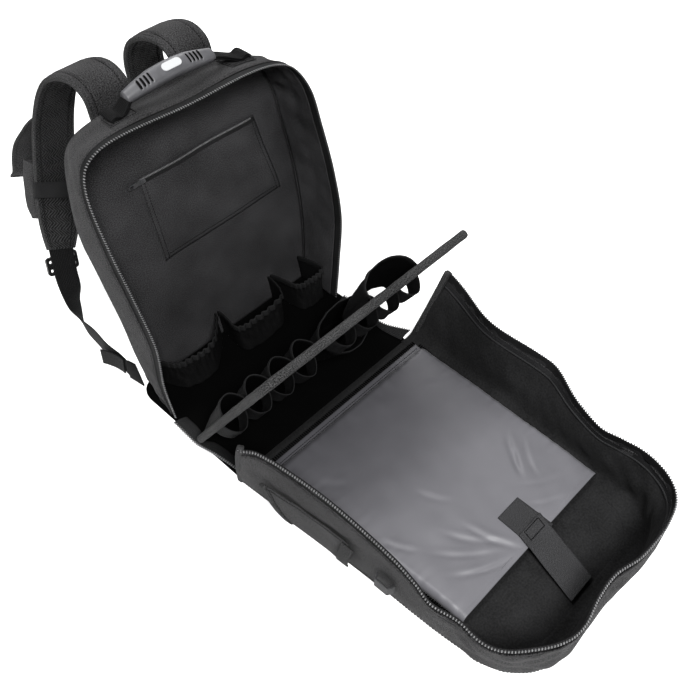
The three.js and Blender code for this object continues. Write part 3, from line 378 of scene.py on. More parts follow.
# Its lining is cut fuller than the wall, so it folds into the corners and over the seams.
u, v = steps(420, 40)
lining_flat = arch(u, zip_tape + 1 + v * (main_depth - 12 - zip_tape), 4.6)
lining_out = outward(lining_flat, bag_middle)
fuller = 0.3 + 1.2 * np.exp(-((u - 0.665) / 0.045) ** 2) + 0.6 * np.exp(-((u - 0.335) / 0.035) ** 2)
lining_folds = fuller * 2.4 * crumple(u * 1150, v * 50, 42, 11) + 0.8 * crumple(u * 1150, v * 50, 90, 12)
lining = lining_flat - lining_out * (4.2 + (1.2 + lining_folds) * np.sin(pi * v) ** 0.7)[..., None]
lining[..., 2] = np.maximum(lining[..., 2], foot_at(lining[..., 1], 4.6))
lining_piece = surface("main_lining", upright(lining), lining_cloth, "lining", within=inside, thick=0.6)
lining_piece.data.flip_normals()
as_sheet(upright(lining))

# ---------------------------------------------------------------------------------------------------
# Zip of the body: a twill tape round the wall's front edge, and the moulded coil along its free edge.


def surface_copies(name, template, faces, centres, axes, material, slot, *nodes):
    """One mesh of many copies of a small closed form, each turned to its own three axes."""
    points = centres[:, None] + np.einsum("mk,nkj->nmj", template, axes)
    count = template.shape[0]
    every = (faces[None] + (np.arange(len(centres)) * count)[:, None, None]).reshape(-1, 4)
    made = mesh_object(name, points.reshape(-1, 3), every)
    made.data.materials.append(material)
    face_out(made.data)
    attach(made, "root")
    if nodes:
        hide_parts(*nodes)
    return made


def squared(wave, power):
    """A sine or cosine drawn towards a square wave by a power below 1."""
    return np.sign(wave) * np.abs(wave) ** power


def bead(length, width, height, sides=6, rings=4, square=0.7):
    """A closed rounded form: a ring of squared cosines and sines, drawn in towards both ends."""
    turn, run = np.linspace(0, 2 * pi, sides + 1), np.linspace(-pi / 2, pi / 2, rings + 1)
    run, turn = np.meshgrid(run, turn, indexing="ij")
    points = np.stack([
        0.5 * length * squared(np.sin(run), square),
        0.5 * width * squared(np.cos(run), square) * squared(np.cos(turn), square),
        0.5 * height * squared(np.cos(run), square) * squared(np.sin(turn), square),
    ], -1)
    return points.reshape(-1, 3), grid_faces(rings + 1, sides + 1)


def even_run(line, pitch, *carried):
    """A line and what it carries, read again at even steps of its own length."""
    run = np.linalg.norm(np.diff(line, axis=0, prepend=line[:1]), axis=-1).cumsum()
    at = np.arange(pitch / 2, run[-1], pitch)
    read = lambda values: np.stack([np.interp(at, run, values[:, k]) for k in range(3)], -1)
    return [read(values) for values in (line, *carried)]


def rows_of(name, line, normal, pitch, form, material, slot, *nodes, lift=0.0):
    """Small forms set along a line on a surface: their length lies along it, their height off it."""
    centres, out = even_run(line, pitch, normal)
    ahead = unit(np.gradient(centres, axis=0))
    out = unit(out - (out * ahead).sum(-1, keepdims=True) * ahead)
    axes = np.stack([ahead, np.cross(out, ahead), out], 1)
    points, faces = form
    return surface_copies(name, points, faces, centres + lift * out, axes, material, slot, *nodes)


tape_cloth = woven(
    "zip_tape", (0.002, 0.002, 0.002), (0.032, 0.032, 0.033), 0.0018, "twill", grain=0.3, roughness=0.75,
)
coil_plastic = mottled(
    "zip_coil", (0.16, 0.16, 0.165), 0.32, 260.0, tones=((0.05, 0.05, 0.051), (0.3, 0.3, 0.305)),
)
thread = mottled(
    "thread", (0.006, 0.006, 0.006), 0.6, 900.0, tones=((0.001, 0.001, 0.001), (0.012, 0.012, 0.012)),
    Specular_IOR_Level=0.1,
)
stitch = bead(2.9, 1.1, 0.9, 6, 3)
tooth = bead(1.5, 4.2, 2.4, 7, 4)
tooth_pitch = 3.4

u, v = steps(420, 7)
tape_flat = arch(u, v * (zip_tape + 2))
tape_out = outward(tape_flat, bag_middle)
tape = tape_flat - tape_out * 1.6
tape[..., 2] = np.maximum(tape[..., 2], foot_at(tape[..., 1], 1.0))
tape_piece = surface("main_zip_tape", upright(tape), tape_cloth, "zip", "main_zip", within=inside, thick=1.0)
as_sheet(upright(tape))
edge_out = upright(tape[:, 0] + tape_out[:, 1]) - upright(tape[:, 0])
rows_of(
    "main_zip_coil", upright(tape[:, 0] + [0, 1.6, 0]), edge_out, tooth_pitch, tooth, coil_plastic, "zip", lift=-0.3,
)
seam = upright(gusset[:, 3])
seam_out = upright(gusset[:, 3] + gusset_out[:, 3]) - seam
rows_of("main_zip_stitches", seam, seam_out, 4.2, stitch, thread, "zip", lift=0.2)

# ---------------------------------------------------------------------------------------------------
# Base and back: padded panels sewn into the wall's foot and back edge. The base is faced with a
# brushed lining inside, and the back with smooth lining inside and padded channels behind.


def brushed(name, dark, light, size=900.0, **sockets):
    """Napped cloth: fine fibres from noise on Object coordinates, over slow brushed patches."""
    material, tree, _ = finish(name, light, 1.0, **{"Specular_IOR_Level": 0.1, **sockets})
    nap, stroke = noise(tree, size, 4.0), noise(tree, 22.0, 3.0)
    mixed = sum_of(tree, "ADD", sum_of(tree, "MULTIPLY", nap, 0.7), sum_of(tree, "MULTIPLY", stroke, 0.5))
    tone_between(tree, sum_of(tree, "SUBTRACT", mixed, 0.1), dark, light)
    raised(tree, nap, 0.6, 0.0008)
    return material


velour = brushed("velour", (0.0002, 0.0002, 0.0002), (0.003, 0.003, 0.003), Sheen_Weight=0.0, Sheen_Roughness=0.5)


def padded_form(name, grid, material, slot, *nodes, fill=0.9, **options):
    """A closed form, its normals turned outwards."""
    surface(name, grid, material, slot, *nodes, closed=True, **options)


def rounded_path(corners, radii, spacing=4.0):
    """A closed outline through corners, each rounded by its radius, as evenly spaced points."""
    parts = []
    for k, (corner, radius) in enumerate(zip(corners, radii)):
        corner = np.asarray(corner, float)
        before = np.asarray(corners[k - 1], float) - corner
        after = np.asarray(corners[(k + 1) % len(corners)], float) - corner
        start, end = corner + radius * unit(before), corner + radius * unit(after)
        t = np.linspace(0, 1, 9)[:, None]
        parts.append((1 - t) ** 2 * start + 2 * t * (1 - t) * corner + t**2 * end)
    line = np.pad(np.concatenate([*parts, parts[0][:1]]), ((0, 0), (0, 1)))
    return even_run(line, spacing)[0]


def pad_solid(name, outline, low, high, material, slot, *nodes, crown=0.0, edge=0.3, waves=None):
    """A flat pad: its outline carried up a rounded edge to a crowned top and down to a flat underside."""
    closed = np.concatenate([outline, outline[:1]])
    middle = outline.mean(0)
    turn = np.linspace(0, pi / 2, 5)
    rim = high - low
    rows = [(0.0, low, 0.0), (0.55, low, 0.0), (0.96, low, 0.0), (1.0 - 0.002, low + 0.04 * rim, 0.0)]
    rows += [(1 - 0.004 * np.sin(t) * edge * rim / 3, low + rim * (0.35 + 0.65 * np.sin(t)), 0.0) for t in turn]
    inner = np.linspace(1, 0, 26)[1:]
    rows += [(0.994 * share, high, crown * (1 - share**4)) for share in inner]
    scale = np.array([row[0] for row in rows])[:, None, None]
    points = middle + (closed[None] - middle) * scale
    points[..., 2] = np.array([row[1] + row[2] for row in rows])[:, None]
    if waves is not None:
        top = np.arange(len(rows))[:, None] > 9
        points[..., 2] += np.where(top, waves(points[..., 0], points[..., 1]) * (1 - scale[..., 0] ** 6), 0)
    padded_form(name, points, material, slot, *nodes)


base_left, base_right = -half_width * 0.985, half_width - 16
base_outline = rounded_path(
    [(base_left, hinge), (base_right, hinge), (base_right, back_edge), (base_left, back_edge)], (3, 3, 30, 30),
)
base_outline[:, 2] = 0
floor_waves = lambda x, y: 0.5 * crumple(x, y, 120, 21)
pad_solid("base_cloth", base_outline, 0.2, 4.0, velour, "lining", "base_panel", crown=0.4, waves=floor_waves)

u, v = steps(160, 14)
arch_edge = arch(u[:, 0], np.full(160, 73.0), 4.8)
back_outline = arch_edge * [0.985, 1, 1] + [0, 0, -1.5]
closing = back_outline[-1] + (back_outline[0] - back_outline[-1]) * np.linspace(0, 1, 60)[1:, None]
back_loop = np.concatenate([back_outline, closing])
back_middle = np.array([0, 73.0, 190.0])
share = np.linspace(1, 0, 40)[:, None, None]
inner_face = back_middle + (back_loop - back_middle) * share
inner_face[..., 1] = 72.8 - 1.6 * (1 - share[..., 0] ** 6)
inner_face[..., 1] -= 1.3 * crumple(inner_face[..., 0], inner_face[..., 2], 130, 31) * (1 - share[..., 0] ** 8)
outer_face = inner_face[::-1].copy()
channels = np.abs(np.sin(pi * outer_face[..., 0] / 96 + pi / 2)) ** 0.35
outer_face[..., 1] = 77.0 + 6.5 * (1 - share[::-1, :, 0] ** 8) * channels
outer_face[..., 1] += 0.6 * crumple(outer_face[..., 0], outer_face[..., 2], 40, 32) * (1 - share[::-1, :, 0] ** 6)
back_grid = np.concatenate([inner_face[::-1], outer_face[::-1]])
padded_form(
    "back_padding", upright(back_grid), lining_cloth, "lining", "back_panel", fill=0.7,
    weave_map=back_grid[..., [0, 2]],
)

# Low bands of cloth close the sides of the base between the hinge of the front and the body's zip.
band_rows = {
    "left": np.array([
        [0, 0.91, 0.985, 0.1], [0.3, 0.91, 1.01, 0.1], [0.5, 0.93, 1.03, 0.08], [0.62, 0.975, 1.04, 0.065],
        [0.75, 0.93, 1.04, 0.08], [1, 0.92, 1.04, 0.11],
    ]),
    "right": np.array([
        [0, 0.95, 1.08, 0.09], [0.3, 0.92, 0.98, 0.08], [0.62, 0.95, 0.97, 0.052], [1, 0.9, 0.98, 0.09],
    ]),
}
band_foot = 6.3
rib_tape = woven("ribbed_band", (0.004, 0.004, 0.0042), (0.04, 0.04, 0.041), 0.0022, "rib", grain=0.4)
for side, reach in (("left", base_left), ("right", base_right)):
    u, v = steps(120, 12)
    inner, outer, rise = np.moveaxis(along_rows(band_rows[side], u), -1, 0)
    band = np.stack([
        reach * (inner + (outer - inner) * v),
        hinge + 2.6 + u * (zip_foot - 6 - hinge - 2.6),
        band_foot + v * (126 * rise - band_foot) + 1.5 * np.sin(pi * v),
    ], -1)
    strip = surface(
        f"base_band_{side}_cloth", band, rib_tape, "weave", f"base_band_{side}", within=(0, 0, -60), thick=1.4,
    )
    as_sheet(band)
    rim_out = grid_normals(band)[:, -1]
    rim_out *= np.sign(rim_out[:, 2:3])
    rows_of(f"base_band_{side}_coil", band[:, -1], rim_out, tooth_pitch, tooth, coil_plastic, "zip", lift=0.4)

# ---------------------------------------------------------------------------------------------------
# Flat zipped pocket on the inside of the back: one cut of the lining cloth, sewn down on three sides
# with two rows of stitches, and closed along its top by a fine coil zip.


def slab_of(line, across, out, width, thick, sides=14, square=0.35, taper=None):
    """A rounded strip carried along a line: a squared ellipse of the given width across and thickness
    out, with a pole at each end."""
    angle = np.linspace(0, 2 * pi, sides + 1)
    full = np.ones(len(line)) if taper is None else np.asarray(taper)
    flat = 0.5 * width * squared(np.cos(angle), square)[None, :, None] * full[:, None, None] * across[:, None]
    proud = 0.5 * thick * squared(np.sin(angle), square)[None, :, None] * out[:, None]
    body = line[:, None] + flat + proud
    first = np.broadcast_to(body[:1].mean(1, keepdims=True), (1, sides + 1, 3))
    last = np.broadcast_to(body[-1:].mean(1, keepdims=True), (1, sides + 1, 3))
    return np.concatenate([first, body, last])


u, v = steps(110, 70)
patch_corners = np.array([[[-70, 179.0], [-70, 302]], [[139.5, 182.7], [120.1, 302]]])
patch_flat = (
    patch_corners[0, 0] * ((1 - u) * (1 - v))[..., None] + patch_corners[0, 1] * ((1 - u) * v)[..., None]
    + patch_corners[1, 0] * (u * (1 - v))[..., None] + patch_corners[1, 1] * (u * v)[..., None]
)
patch_wide, patch_high = 194, 123
inset = np.minimum(np.minimum(u * patch_wide, (1 - u) * patch_wide), v * patch_high)
held_down = np.clip(inset / 14, 0, 1) ** 0.7
patch_depth = 70.4 - 1.3 * crumple(patch_flat[..., 0], patch_flat[..., 1], 130, 31)
patch_depth -= held_down * (1.4 + 0.9 * crumple(patch_flat[..., 0], patch_flat[..., 1], 95, 41))
patch_depth -= 0.5 * np.clip(inset / 3, 0, 1)
patch = np.stack([patch_flat[..., 0], patch_depth, patch_flat[..., 1]], -1)
patch_piece = surface(
    "patch_pocket_cloth", upright(patch), lining_cloth, "lining", "patch_pocket", within=upright([20, 90, 240]),
    thick=0.8,
)
as_sheet(upright(patch))
toward_front = upright([0, -1, 0]) - upright([0, 0, 0])
for run, k in (("outer", 1), ("inner", 4)):
    line = upright(np.concatenate([patch[k, ::-1], patch[k:-k, k], patch[-1 - k]]))
    ahead_of = np.broadcast_to(toward_front, line.shape)
    rows_of(f"patch_stitches_{run}", line, ahead_of, 4.0, stitch, thread, "lining", lift=0.15)
patch_rim = upright(patch[1:-4, -1] + [0, -0.6, -2.0])
small_tooth = bead(1.2, 3.0, 1.6, 6, 3)
rows_of(
    "patch_zip_coil", patch_rim, np.broadcast_to(toward_front, patch_rim.shape), 1.9, small_tooth, coil_plastic,
    "zip",
)
lip_line = patch[1:-1, -1] + [0, -0.4, -5.0]
up_lean = upright([0, 0, 1]) - upright([0, 0, 0])
lip = slab_of(
    upright(lip_line), np.broadcast_to(up_lean, lip_line.shape), np.broadcast_to(toward_front, lip_line.shape),
    6.5, 1.2,
)
padded_form("patch_zip_lip", lip, tape_cloth, "zip", "patch_zip")
steel = mottled("bright_steel", (0.6, 0.6, 0.62), 0.28, 700.0, gloss=(0.2, 0.2), Metallic=1.0)


def repaint(name, material):
    """Gives a carried-over node its material."""
    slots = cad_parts[name].data.materials
    slots.clear()
    slots.append(material)


repaint("patch_zip_pull", steel)

# ---------------------------------------------------------------------------------------------------
# Three pockets along the foot of the back, each gathered into an elastic hem at its mouth.
pocket_plans = {
    "left": np.array([[0, -0.835, 0], [0.3, -0.735, 0.68], [0.5, -0.57, 0.84], [0.7, -0.4, 0.76], [1, -0.135, 0]]),
    "centre": np.array([[0, -0.105, 0], [0.25, -0.145, 0.84], [0.5, 0.08, 0.99], [0.75, 0.35, 0.8], [1, 0.47, 0]]),
    "right": np.array([[0, 0.5, 0], [0.28, 0.53, 0.86], [0.52, 0.68, 1], [0.75, 0.825, 0.84], [1, 0.83, 0]]),
}


def gathered_pocket(plan, u, v):
    """Local points of a pocket: its plan drawn in towards the foot, with pleats that deepen to the hem."""
    across, out = np.moveaxis(along_rows(plan, u), -1, 0)
    out = np.clip(out, 0, 1) ** 0.75
    middle = (plan[0, 1] + plan[-1, 1]) / 2
    swell = np.sin(pi * u)
    across = middle + (across - middle) * (1 - 0.14 * swell * (1 - v))
    pleat = np.cos(2 * pi * 15 * u + 1.5 * np.sin(9 * u + 3 * v)) * v**1.5 + 0.5 * crumple(u * 200, v * 58, 30, 51)
    depth = 72.0 - 62 * out * (0.9 + 0.1 * v) + 1.5 * pleat * swell**0.5 + 3 * np.sin(pi * v) * swell * 0.6
    foot = foot_at(np.maximum(depth, 0)) + 0.5
    return np.stack([across * half_width, np.minimum(depth, 72.4), foot + v * (38 + 16 * swell**0.5)], -1)


def hem_along(name, rim, up, drop, width, thick):
    """A padded hem just below the rim of gathered cloth, its width up the cloth."""
    upwards = np.broadcast_to(up, rim.shape)
    sideways = unit(np.cross(np.gradient(rim, axis=0), upwards))
    hem = slab_of(rim - drop * upwards, upwards, sideways, width, thick, 10)
    padded_form(name, hem, elastic, "lining", fill=0.8)


elastic = woven("elastic_hem", (0.003, 0.003, 0.003), (0.028, 0.028, 0.029), 0.0012, "rib", grain=0.3, roughness=0.8)
for side, plan in pocket_plans.items():
    u, v = steps(180, 24)
    pocket = gathered_pocket(plan, u, v)
    home = upright([plan[:, 1].mean() * half_width, 60, 30])
    name = f"pocket_{side}"
    made = surface(f"{name}_cloth", upright(pocket), painted_shade_lining, "lining", name, within=home, thick=0.8)
    as_sheet(upright(pocket))
    hem_along(f"{name}_hem", upright(pocket[:, -1]), up_lean, 4, 9, 2.6)

# ---------------------------------------------------------------------------------------------------
# Divider: a stiff board covered in padded cloth, with a broad binding all round. It stands on the
# base, leans towards the folded-down front, and carries pockets on its back and loops on its front.
tip = radians(32.3)


def on_divider(local):
    """Points of the divider, given as (x, towards the back, up the board), in the frame."""
    x, y, z = np.moveaxis(np.asarray(local, float), -1, 0)
    return np.stack([x - 8, y * np.cos(tip) - z * np.sin(tip) - 28.6, y * np.sin(tip) + z * np.cos(tip) + 10.4], -1)


def pillow(outline, middle, thick, crown, rings=26):
    """Grid over both faces of a flat pad whose outline lies in x and z: full and crowned in the middle,
    rounded to nothing at its edge."""
    share = np.linspace(0, 1, rings)[:, None, None]
    face = np.asarray(middle) + (outline[None] - np.asarray(middle)) * share**0.8
    half = thick / 2 * (1 - share[..., 0] ** 14) ** 0.5 + crown * (1 - share[..., 0] ** 3)
    front, behind = face.copy(), face[::-1].copy()
    front[..., 1] -= half
    behind[..., 1] += half[::-1]
    return np.concatenate([front, behind])


board_half, board_rise = 335 / 2 - 5.5, 304 - 11
board_outline = rounded_path(
    [(-board_half, 0), (board_half, 0), (board_half, board_rise), (-board_half, board_rise)], (20, 20, 20, 20),
)
ring = np.concatenate([board_outline, board_outline[:1]])[:, [0, 2, 1]]
board_loop = ring * [0.985, 1, 0.985] + [0, 0, 0.0075 * board_rise]
board = pillow(board_loop, (0, 0, board_rise / 2), 7.4, 0.5, 30)
board[..., 1] += 0.35 * crumple(board[..., 0], board[..., 2], 70, 61)
padded_form(
    "divider_padding", on_divider(board), painted_shade_lining, "lining", "divider_board", weave_map=board[..., [0, 2]],
)
binding_cloth = woven("binding_tape", (0.004, 0.004, 0.004), (0.08, 0.08, 0.081), 0.002, "basket", grain=0.7)
ring_ahead = unit(np.gradient(np.concatenate([ring[-2:-1], ring, ring[1:2]]), axis=0)[1:-1])
ring_out = np.cross(ring_ahead, [0, 1, 0])
ring_out *= np.sign((ring_out * (ring - [0, 0, board_rise / 2])).sum(-1, keepdims=True))
angle = np.linspace(0, 2 * pi, 19)
puckers = 1 + 0.035 * crumple(np.arange(len(ring))[:, None] * 4.0, np.zeros((1, 19)), 26, 62)
binding = (
    ring[:, None] + 5.5 * (puckers * squared(np.sin(angle), 0.75))[..., None] * ring_out[:, None]
    + 5.5 * (puckers * squared(np.cos(angle), 0.75))[..., None] * np.array([0, 1, 0])
)
padded_form("divider_edge", on_divider(binding), binding_cloth, "binding", "divider_binding")
for face, sign in (("front", -1), ("back", 1)):
    line = on_divider(ring - 6.4 * ring_out + [0, sign * 4.6, 0])
    facing = np.broadcast_to(on_divider([0, sign, 0]) - on_divider([0, 0, 0]), line.shape)
    rows_of(f"divider_stitches_{face}", line, facing, 4.2, stitch, thread, "binding", lift=0.1)

# Cloth sewn to the board in lobes: from, to, low, high, lobes, depth, share of it at the foot, power,
# which face it is on, and how far its mouth sags.
row_edge = 154.7
divider_pockets = {
    "divider_cells": (-row_edge, 6.7, 11.3, 106.4, 4, 19, 0.15, 0.6, 1, 3),
    "divider_flat_pocket": (20.1, 140.7, 11.3, 82.1, 1, 26, 0.2, 0.5, 1, 4),
    "divider_bellows_pocket": (57.0, row_edge, 97.3, 188.5, 1, 32, 0.5, 0.35, 1, 3),
    "divider_loops_lower": (-row_edge, 6.7, 48.6, 85.1, 4, 20, 1.0, 0.6, -1, 0),
    "divider_front_pocket": (16.8, 107.2, 11.3, 91.2, 1, 26, 0.3, 0.5, -1, 3),
    "divider_loops_upper": (-6.7, row_edge, 136.8, 170.2, 4, 18, 1.0, 0.6, -1, 0),
}


def lobed(u, v, start, end, low, high, lobes, depth, foot, power, facing, sag):
    """Local points of lobed cloth: each lobe stands off by a power of a half sine between flat seams."""
    lobe = np.minimum(np.floor(u * lobes), lobes - 1)
    phase = u * lobes - lobe
    bulge = np.sin(pi * np.clip((phase - 0.06) / 0.88, 0, 1)) ** power
    off = depth * bulge * (foot + (1 - foot) * np.sqrt(v))
    off = off + 0.7 * bulge * crumple(u * (end - start), v * (high - low), 24, 63)
    height = low + (high - sag * bulge - low) * v
    return np.stack([start + (end - start) * u, facing * (5.2 + off), height], -1)


for name, plan in divider_pockets.items():
    lobes, facing, band = plan[4], plan[8], plan[6] == 1.0
    u, v = steps(60 * lobes + 1 if lobes > 1 else 121, 16)
    sheet_grid = on_divider(lobed(u, v, *plan))
    home = on_divider([(plan[0] + plan[1]) / 2, -facing * 60, (plan[2] + plan[3]) / 2])
    cloth = elastic if band else painted_shade_lining
    made = surface(f"{name}_cloth", sheet_grid, cloth, "lining", name, within=home, thick=1.2 if band else 0.9)
    as_sheet(sheet_grid)
    up_board = on_divider([0, 0, 1]) - on_divider([0, 0, 0])
    if not band:
        hem_along(f"{name}_hem", sheet_grid[:, -1], up_board, 3.5, 8, 2.2)

# ---------------------------------------------------------------------------------------------------
# Front of the bag, folded down flat: a stiffened panel with a wall of coarse polyester sewn round it.
# The wall waves between the hinge and the far corners, and its rim carries the other half of the zip.
flap_length, flap_depth, flap_corner = 429.0, 126.0, 80.0
far_edge = hinge - flap_length
flap_half = 0.87 * half_width
rim_rows = np.array([
    [0, 0.17], [0.029, 0.159], [0.047, 0.07], [0.084, 0.017], [0.147, -0.008], [0.224, 0.033], [0.26, 0.089],
    [0.282, 0.141], [0.313, 0.109], [0.346, 0.14], [0.381, 0.078], [0.417, 0.066], [0.44, 0.04], [0.462, 0.001],
    [0.496, -0.014], [0.53, 0.06], [0.58, 0.081], [0.615, 0.129], [0.65, 0.075], [0.689, -0.003], [0.709, -0.047],
    [0.731, -0.019], [0.758, 0.054], [0.798, 0.225], [0.82, 0.224], [0.879, 0.137], [0.907, 0.156],
    [0.952, 0.291], [0.98, 0.35], [1, 0.34],
])
quarter = np.linspace(0, pi / 2, 60)
arc_left = np.stack([
    -flap_half + flap_corner - flap_corner * np.cos(quarter), far_edge + flap_corner - flap_corner * np.sin(quarter),
], -1)
flap_edge = np.concatenate([
    [(-half_width, hinge - 0.3)], arc_left, (arc_left * [-1, 1])[::-1], [(half_width, hinge - 0.3)],
])
edge_run = np.linalg.norm(np.diff(flap_edge, axis=0, prepend=flap_edge[:1]), axis=-1).cumsum()


def on_edge(place):
    """Point of the flap's outline at a share of its length."""
    return np.stack([np.interp(place * edge_run[-1], edge_run, flap_edge[:, k]) for k in (0, 1)], -1)


def flap_wall(station, share):
    """Point of the wall's outer side: out by its lean and a half sine of belly, up by what is left."""
    slant = 0.03 * (1 - station) ** 4 - 0.015 * station**4
    place = np.clip(station + slant * share, 0, 1)
    foot = on_edge(place)
    ahead = unit(on_edge(np.minimum(place + 0.006, 1)) - on_edge(np.maximum(place - 0.006, 0)))
    width = flap_depth * (0.968 - 0.27 * np.sin(pi * place))
    away = flap_depth * along_rows(rim_rows, place)[..., 0]
    out = away * share + 0.03 * flap_depth * np.sin(pi * share)
    up = np.sqrt(width**2 - away**2) * share
    return np.stack([foot[..., 0] + ahead[..., 1] * out, foot[..., 1] - ahead[..., 0] * out, up], -1)


def rim_width(station):
    """Width of the wall from the panel to the zip's edge."""
    return flap_depth * (0.968 - 0.27 * np.sin(pi * station))


flap_middle = np.array([0.0, -320.0, 30.0])
fleece = brushed(
    "fleece", (0.0006, 0.0006, 0.0006), (0.045, 0.045, 0.046), size=420.0, Sheen_Weight=0.03, Sheen_Roughness=0.5,
)
wall_run = 1090  # the wall's length along the zip
u, v = steps(460, 72)
side_flat = flap_wall(u, 0.006 + v * (1 - (zip_tape - 1) / rim_width(u) - 0.006))
side_out = outward(side_flat, flap_middle)
at_corner = np.exp(-((u - 0.36) / 0.05) ** 2) + np.exp(-((u - 0.64) / 0.05) ** 2)
side_waves = 1.9 * crumple(u * wall_run, v * 110, 130, 71)
side_waves += (0.3 + at_corner) * 1.4 * crumple(u * wall_run, v * 110, 38, 72)
side_waves += 0.35 * crumple(u * wall_run, v * 20, 14, 73) * v**4
side_hem = hemmed((1 - v) * rim_width(u))
side = side_flat + side_out * (side_waves * np.sin(pi * v) ** 0.5 + side_hem - 0.8)[..., None]
side_piece = surface("flap_gusset", side, weave_cloth, "weave", "flap_wall", within=flap_middle, thick=1.4)
as_sheet(side)

panel_line = np.concatenate([on_edge(np.linspace(0, 1, 240)), on_edge(np.zeros(1))])
panel_line = np.pad(panel_line, ((0, 0), (0, 1)))
panel_middle = np.array([0, hinge - 0.4, 0])
panel_line = panel_middle + (panel_line - panel_middle) * [0.985, 0.99, 1]
panel_line = even_run(panel_line, 4.0)[0]
pad_solid(
    "flap_cloth", panel_line, 0.1, 4.8, fleece, "weave", "flap_panel", crown=0.4,
    waves=lambda x, y: 0.6 * crumple(x, y, 110, 74),
)

u, v = steps(460, 8)
rim_flat = flap_wall(u, 1 - (1 - v) * (zip_tape + 2) / rim_width(u))
rim_out = outward(rim_flat, flap_middle)
rim_tape = surface(
    "flap_zip_tape", rim_flat - 1.6 * rim_out, tape_cloth, "zip", "flap_zip", within=flap_middle, thick=1.0,
)
as_sheet(rim_flat)
down_wall = unit(rim_flat[:, 0] - rim_flat[:, -1])
rows_of(
    "flap_zip_coil", rim_flat[:, -1] + 1.6 * down_wall, rim_out[:, -1], tooth_pitch, tooth, coil_plastic, "zip",
    lift=-0.3,
)
for row, drop in (("upper", 69), ("lower", 3)):
    rows_of(f"flap_stitches_{row}", side[:, drop], side_out[:, drop], 4.2, stitch, thread, "weave", lift=0.3)

# Inside of the wall: a smooth facing behind the zip, a piped ridge, then brushed lining that rolls
# in over the panel.
u, v = steps(460, 10)
facing_share = 1 - (1 + v * 22) / rim_width(u)
facing_flat = flap_wall(u, facing_share)
facing_in = -outward(facing_flat, flap_middle)
facing_wave = 0.4 * crumple(u * wall_run, v * 24, 30, 75) * np.sin(pi * v)
facing = facing_flat + facing_in * (1.9 + 1.6 * v + facing_wave)[..., None]
facing_cloth = woven(
    "zip_facing", (0.006, 0.006, 0.0062), (0.05, 0.05, 0.052), 0.0016, "twill", grain=0.4, roughness=0.7,
)
facing_piece = surface("flap_facing", facing, facing_cloth, "zip", within=flap_middle, thick=0.7)
facing_piece.data.flip_normals()
as_sheet(facing)
ridge_ahead = unit(np.gradient(facing[:, -1], axis=0))
ridge = slab_of(
    facing[:, -1], facing_in[:, -1], np.cross(ridge_ahead, facing_in[:, -1]), 3.4, 3.0, 8, square=1.0,
)
padded_form("flap_ridge", ridge, facing_cloth, "zip", fill=1.0)

u, v = steps(460, 44)
nap_share = (1 - v) * (1 - 23 / rim_width(u)) + v * 0.004
nap_flat = flap_wall(u, nap_share)
nap_in = -outward(nap_flat, flap_middle)
roll = 3.4 + 6.5 * np.sin(pi * np.clip(v * 1.25, 0, 1)) ** 0.9 + 22 * np.clip((v - 0.55) / 0.45, 0, 1) ** 3
bunch = 0.45 + at_corner[:, :1]
nap_folds = 1.5 * crumple(u * wall_run, v * 90, 85, 76) + bunch * 2.0 * crumple(u * wall_run, v * 50, 33, 77)
level_in = unit(nap_in * [1, 1, 0])
nap = nap_flat + level_in * (roll + nap_folds * np.sin(pi * np.clip(v, 0.02, 0.94)) ** 0.7)[..., None]
nap[..., 2] = np.maximum(nap[..., 2], 5.4)
nap_piece = surface("flap_lining", nap, fleece, "lining", within=flap_middle, thick=0.8)
nap_piece.data.flip_normals()
as_sheet(nap)

# Both free ends of the wall at the hinge are bound with folded tape.
for side_name, station in (("left", 0.0), ("right", 1.0)):
    run = np.linspace(0.01, 1, 70)
    inner_station = abs(station - 0.012)
    line = flap_wall(np.full(70, station), run)
    inwards = unit(line - flap_wall(np.full(70, inner_station), run))
    flat = flap_wall(np.stack([np.full(70, station), np.full(70, inner_station)]), np.stack([run, run]))
    across = -outward(flat, flap_middle)[0]
    thickness = 6 + 5 * np.sin(pi * np.clip(run, 0, 1)) ** 0.8
    middle_line = line + across * (thickness / 2)[:, None] - inwards * 3.2
    band = slab_of(middle_line, across, inwards, 9.0, 9.0, 14, square=0.5)
    padded_form(
        f"flap_end_{side_name}", band, binding_cloth, "binding", f"flap_binding_{side_name}", fill=0.8,
    )

# ---------------------------------------------------------------------------------------------------
# Padded sleeve on the inside of the front: an envelope of grey satin over thin foam, sewn down along
# the hinge and both sides, and open at its far end. The strap pulls creases into it.
sleeve_near, sleeve_long, sleeve_shift = hinge - 18, 306.0, 9.0
sleeve_width, sleeve_taper = 290, 0.07
satin, satin_tree, _ = finish(
    "grey_satin", (0.2, 0.198, 0.215), 0.48, Sheen_Weight=0.15, Sheen_Roughness=0.35,
)
satin_place = node(satin_tree, "ShaderNodeTexCoord").outputs["Object"]
satin_parts = node(satin_tree, "ShaderNodeSeparateXYZ", {0: satin_place})
satin_fill, satin_warp = (
    sum_of(satin_tree, "SINE", sum_of(satin_tree, "MULTIPLY", satin_parts.outputs[axis], 2 * pi / 0.0009), 0)
    for axis in (0, 1)
)
satin_weave = sum_of(satin_tree, "MULTIPLY", satin_fill, satin_warp)
satin_height = sum_of(satin_tree, "MULTIPLY_ADD", satin_weave, 0.06, noise(satin_tree, 16.0, 4.0))
# Painted shade: the satin is painted darker near the hinge and lighter towards the sleeve's far end.
satin_painted_shade = node(satin_tree, "ShaderNodeMapRange", {0: satin_parts.outputs[1], 1: -0.13, 2: -0.3, 3: 0.0, 4: 0.5})
satin_mixed = sum_of(satin_tree, "MULTIPLY_ADD", satin_height, 0.35, satin_painted_shade.outputs[0])
tone_between(satin_tree, satin_mixed, (0.075, 0.074, 0.081), (0.19, 0.188, 0.202))
raised(satin_tree, satin_height, 0.25, 0.0004)
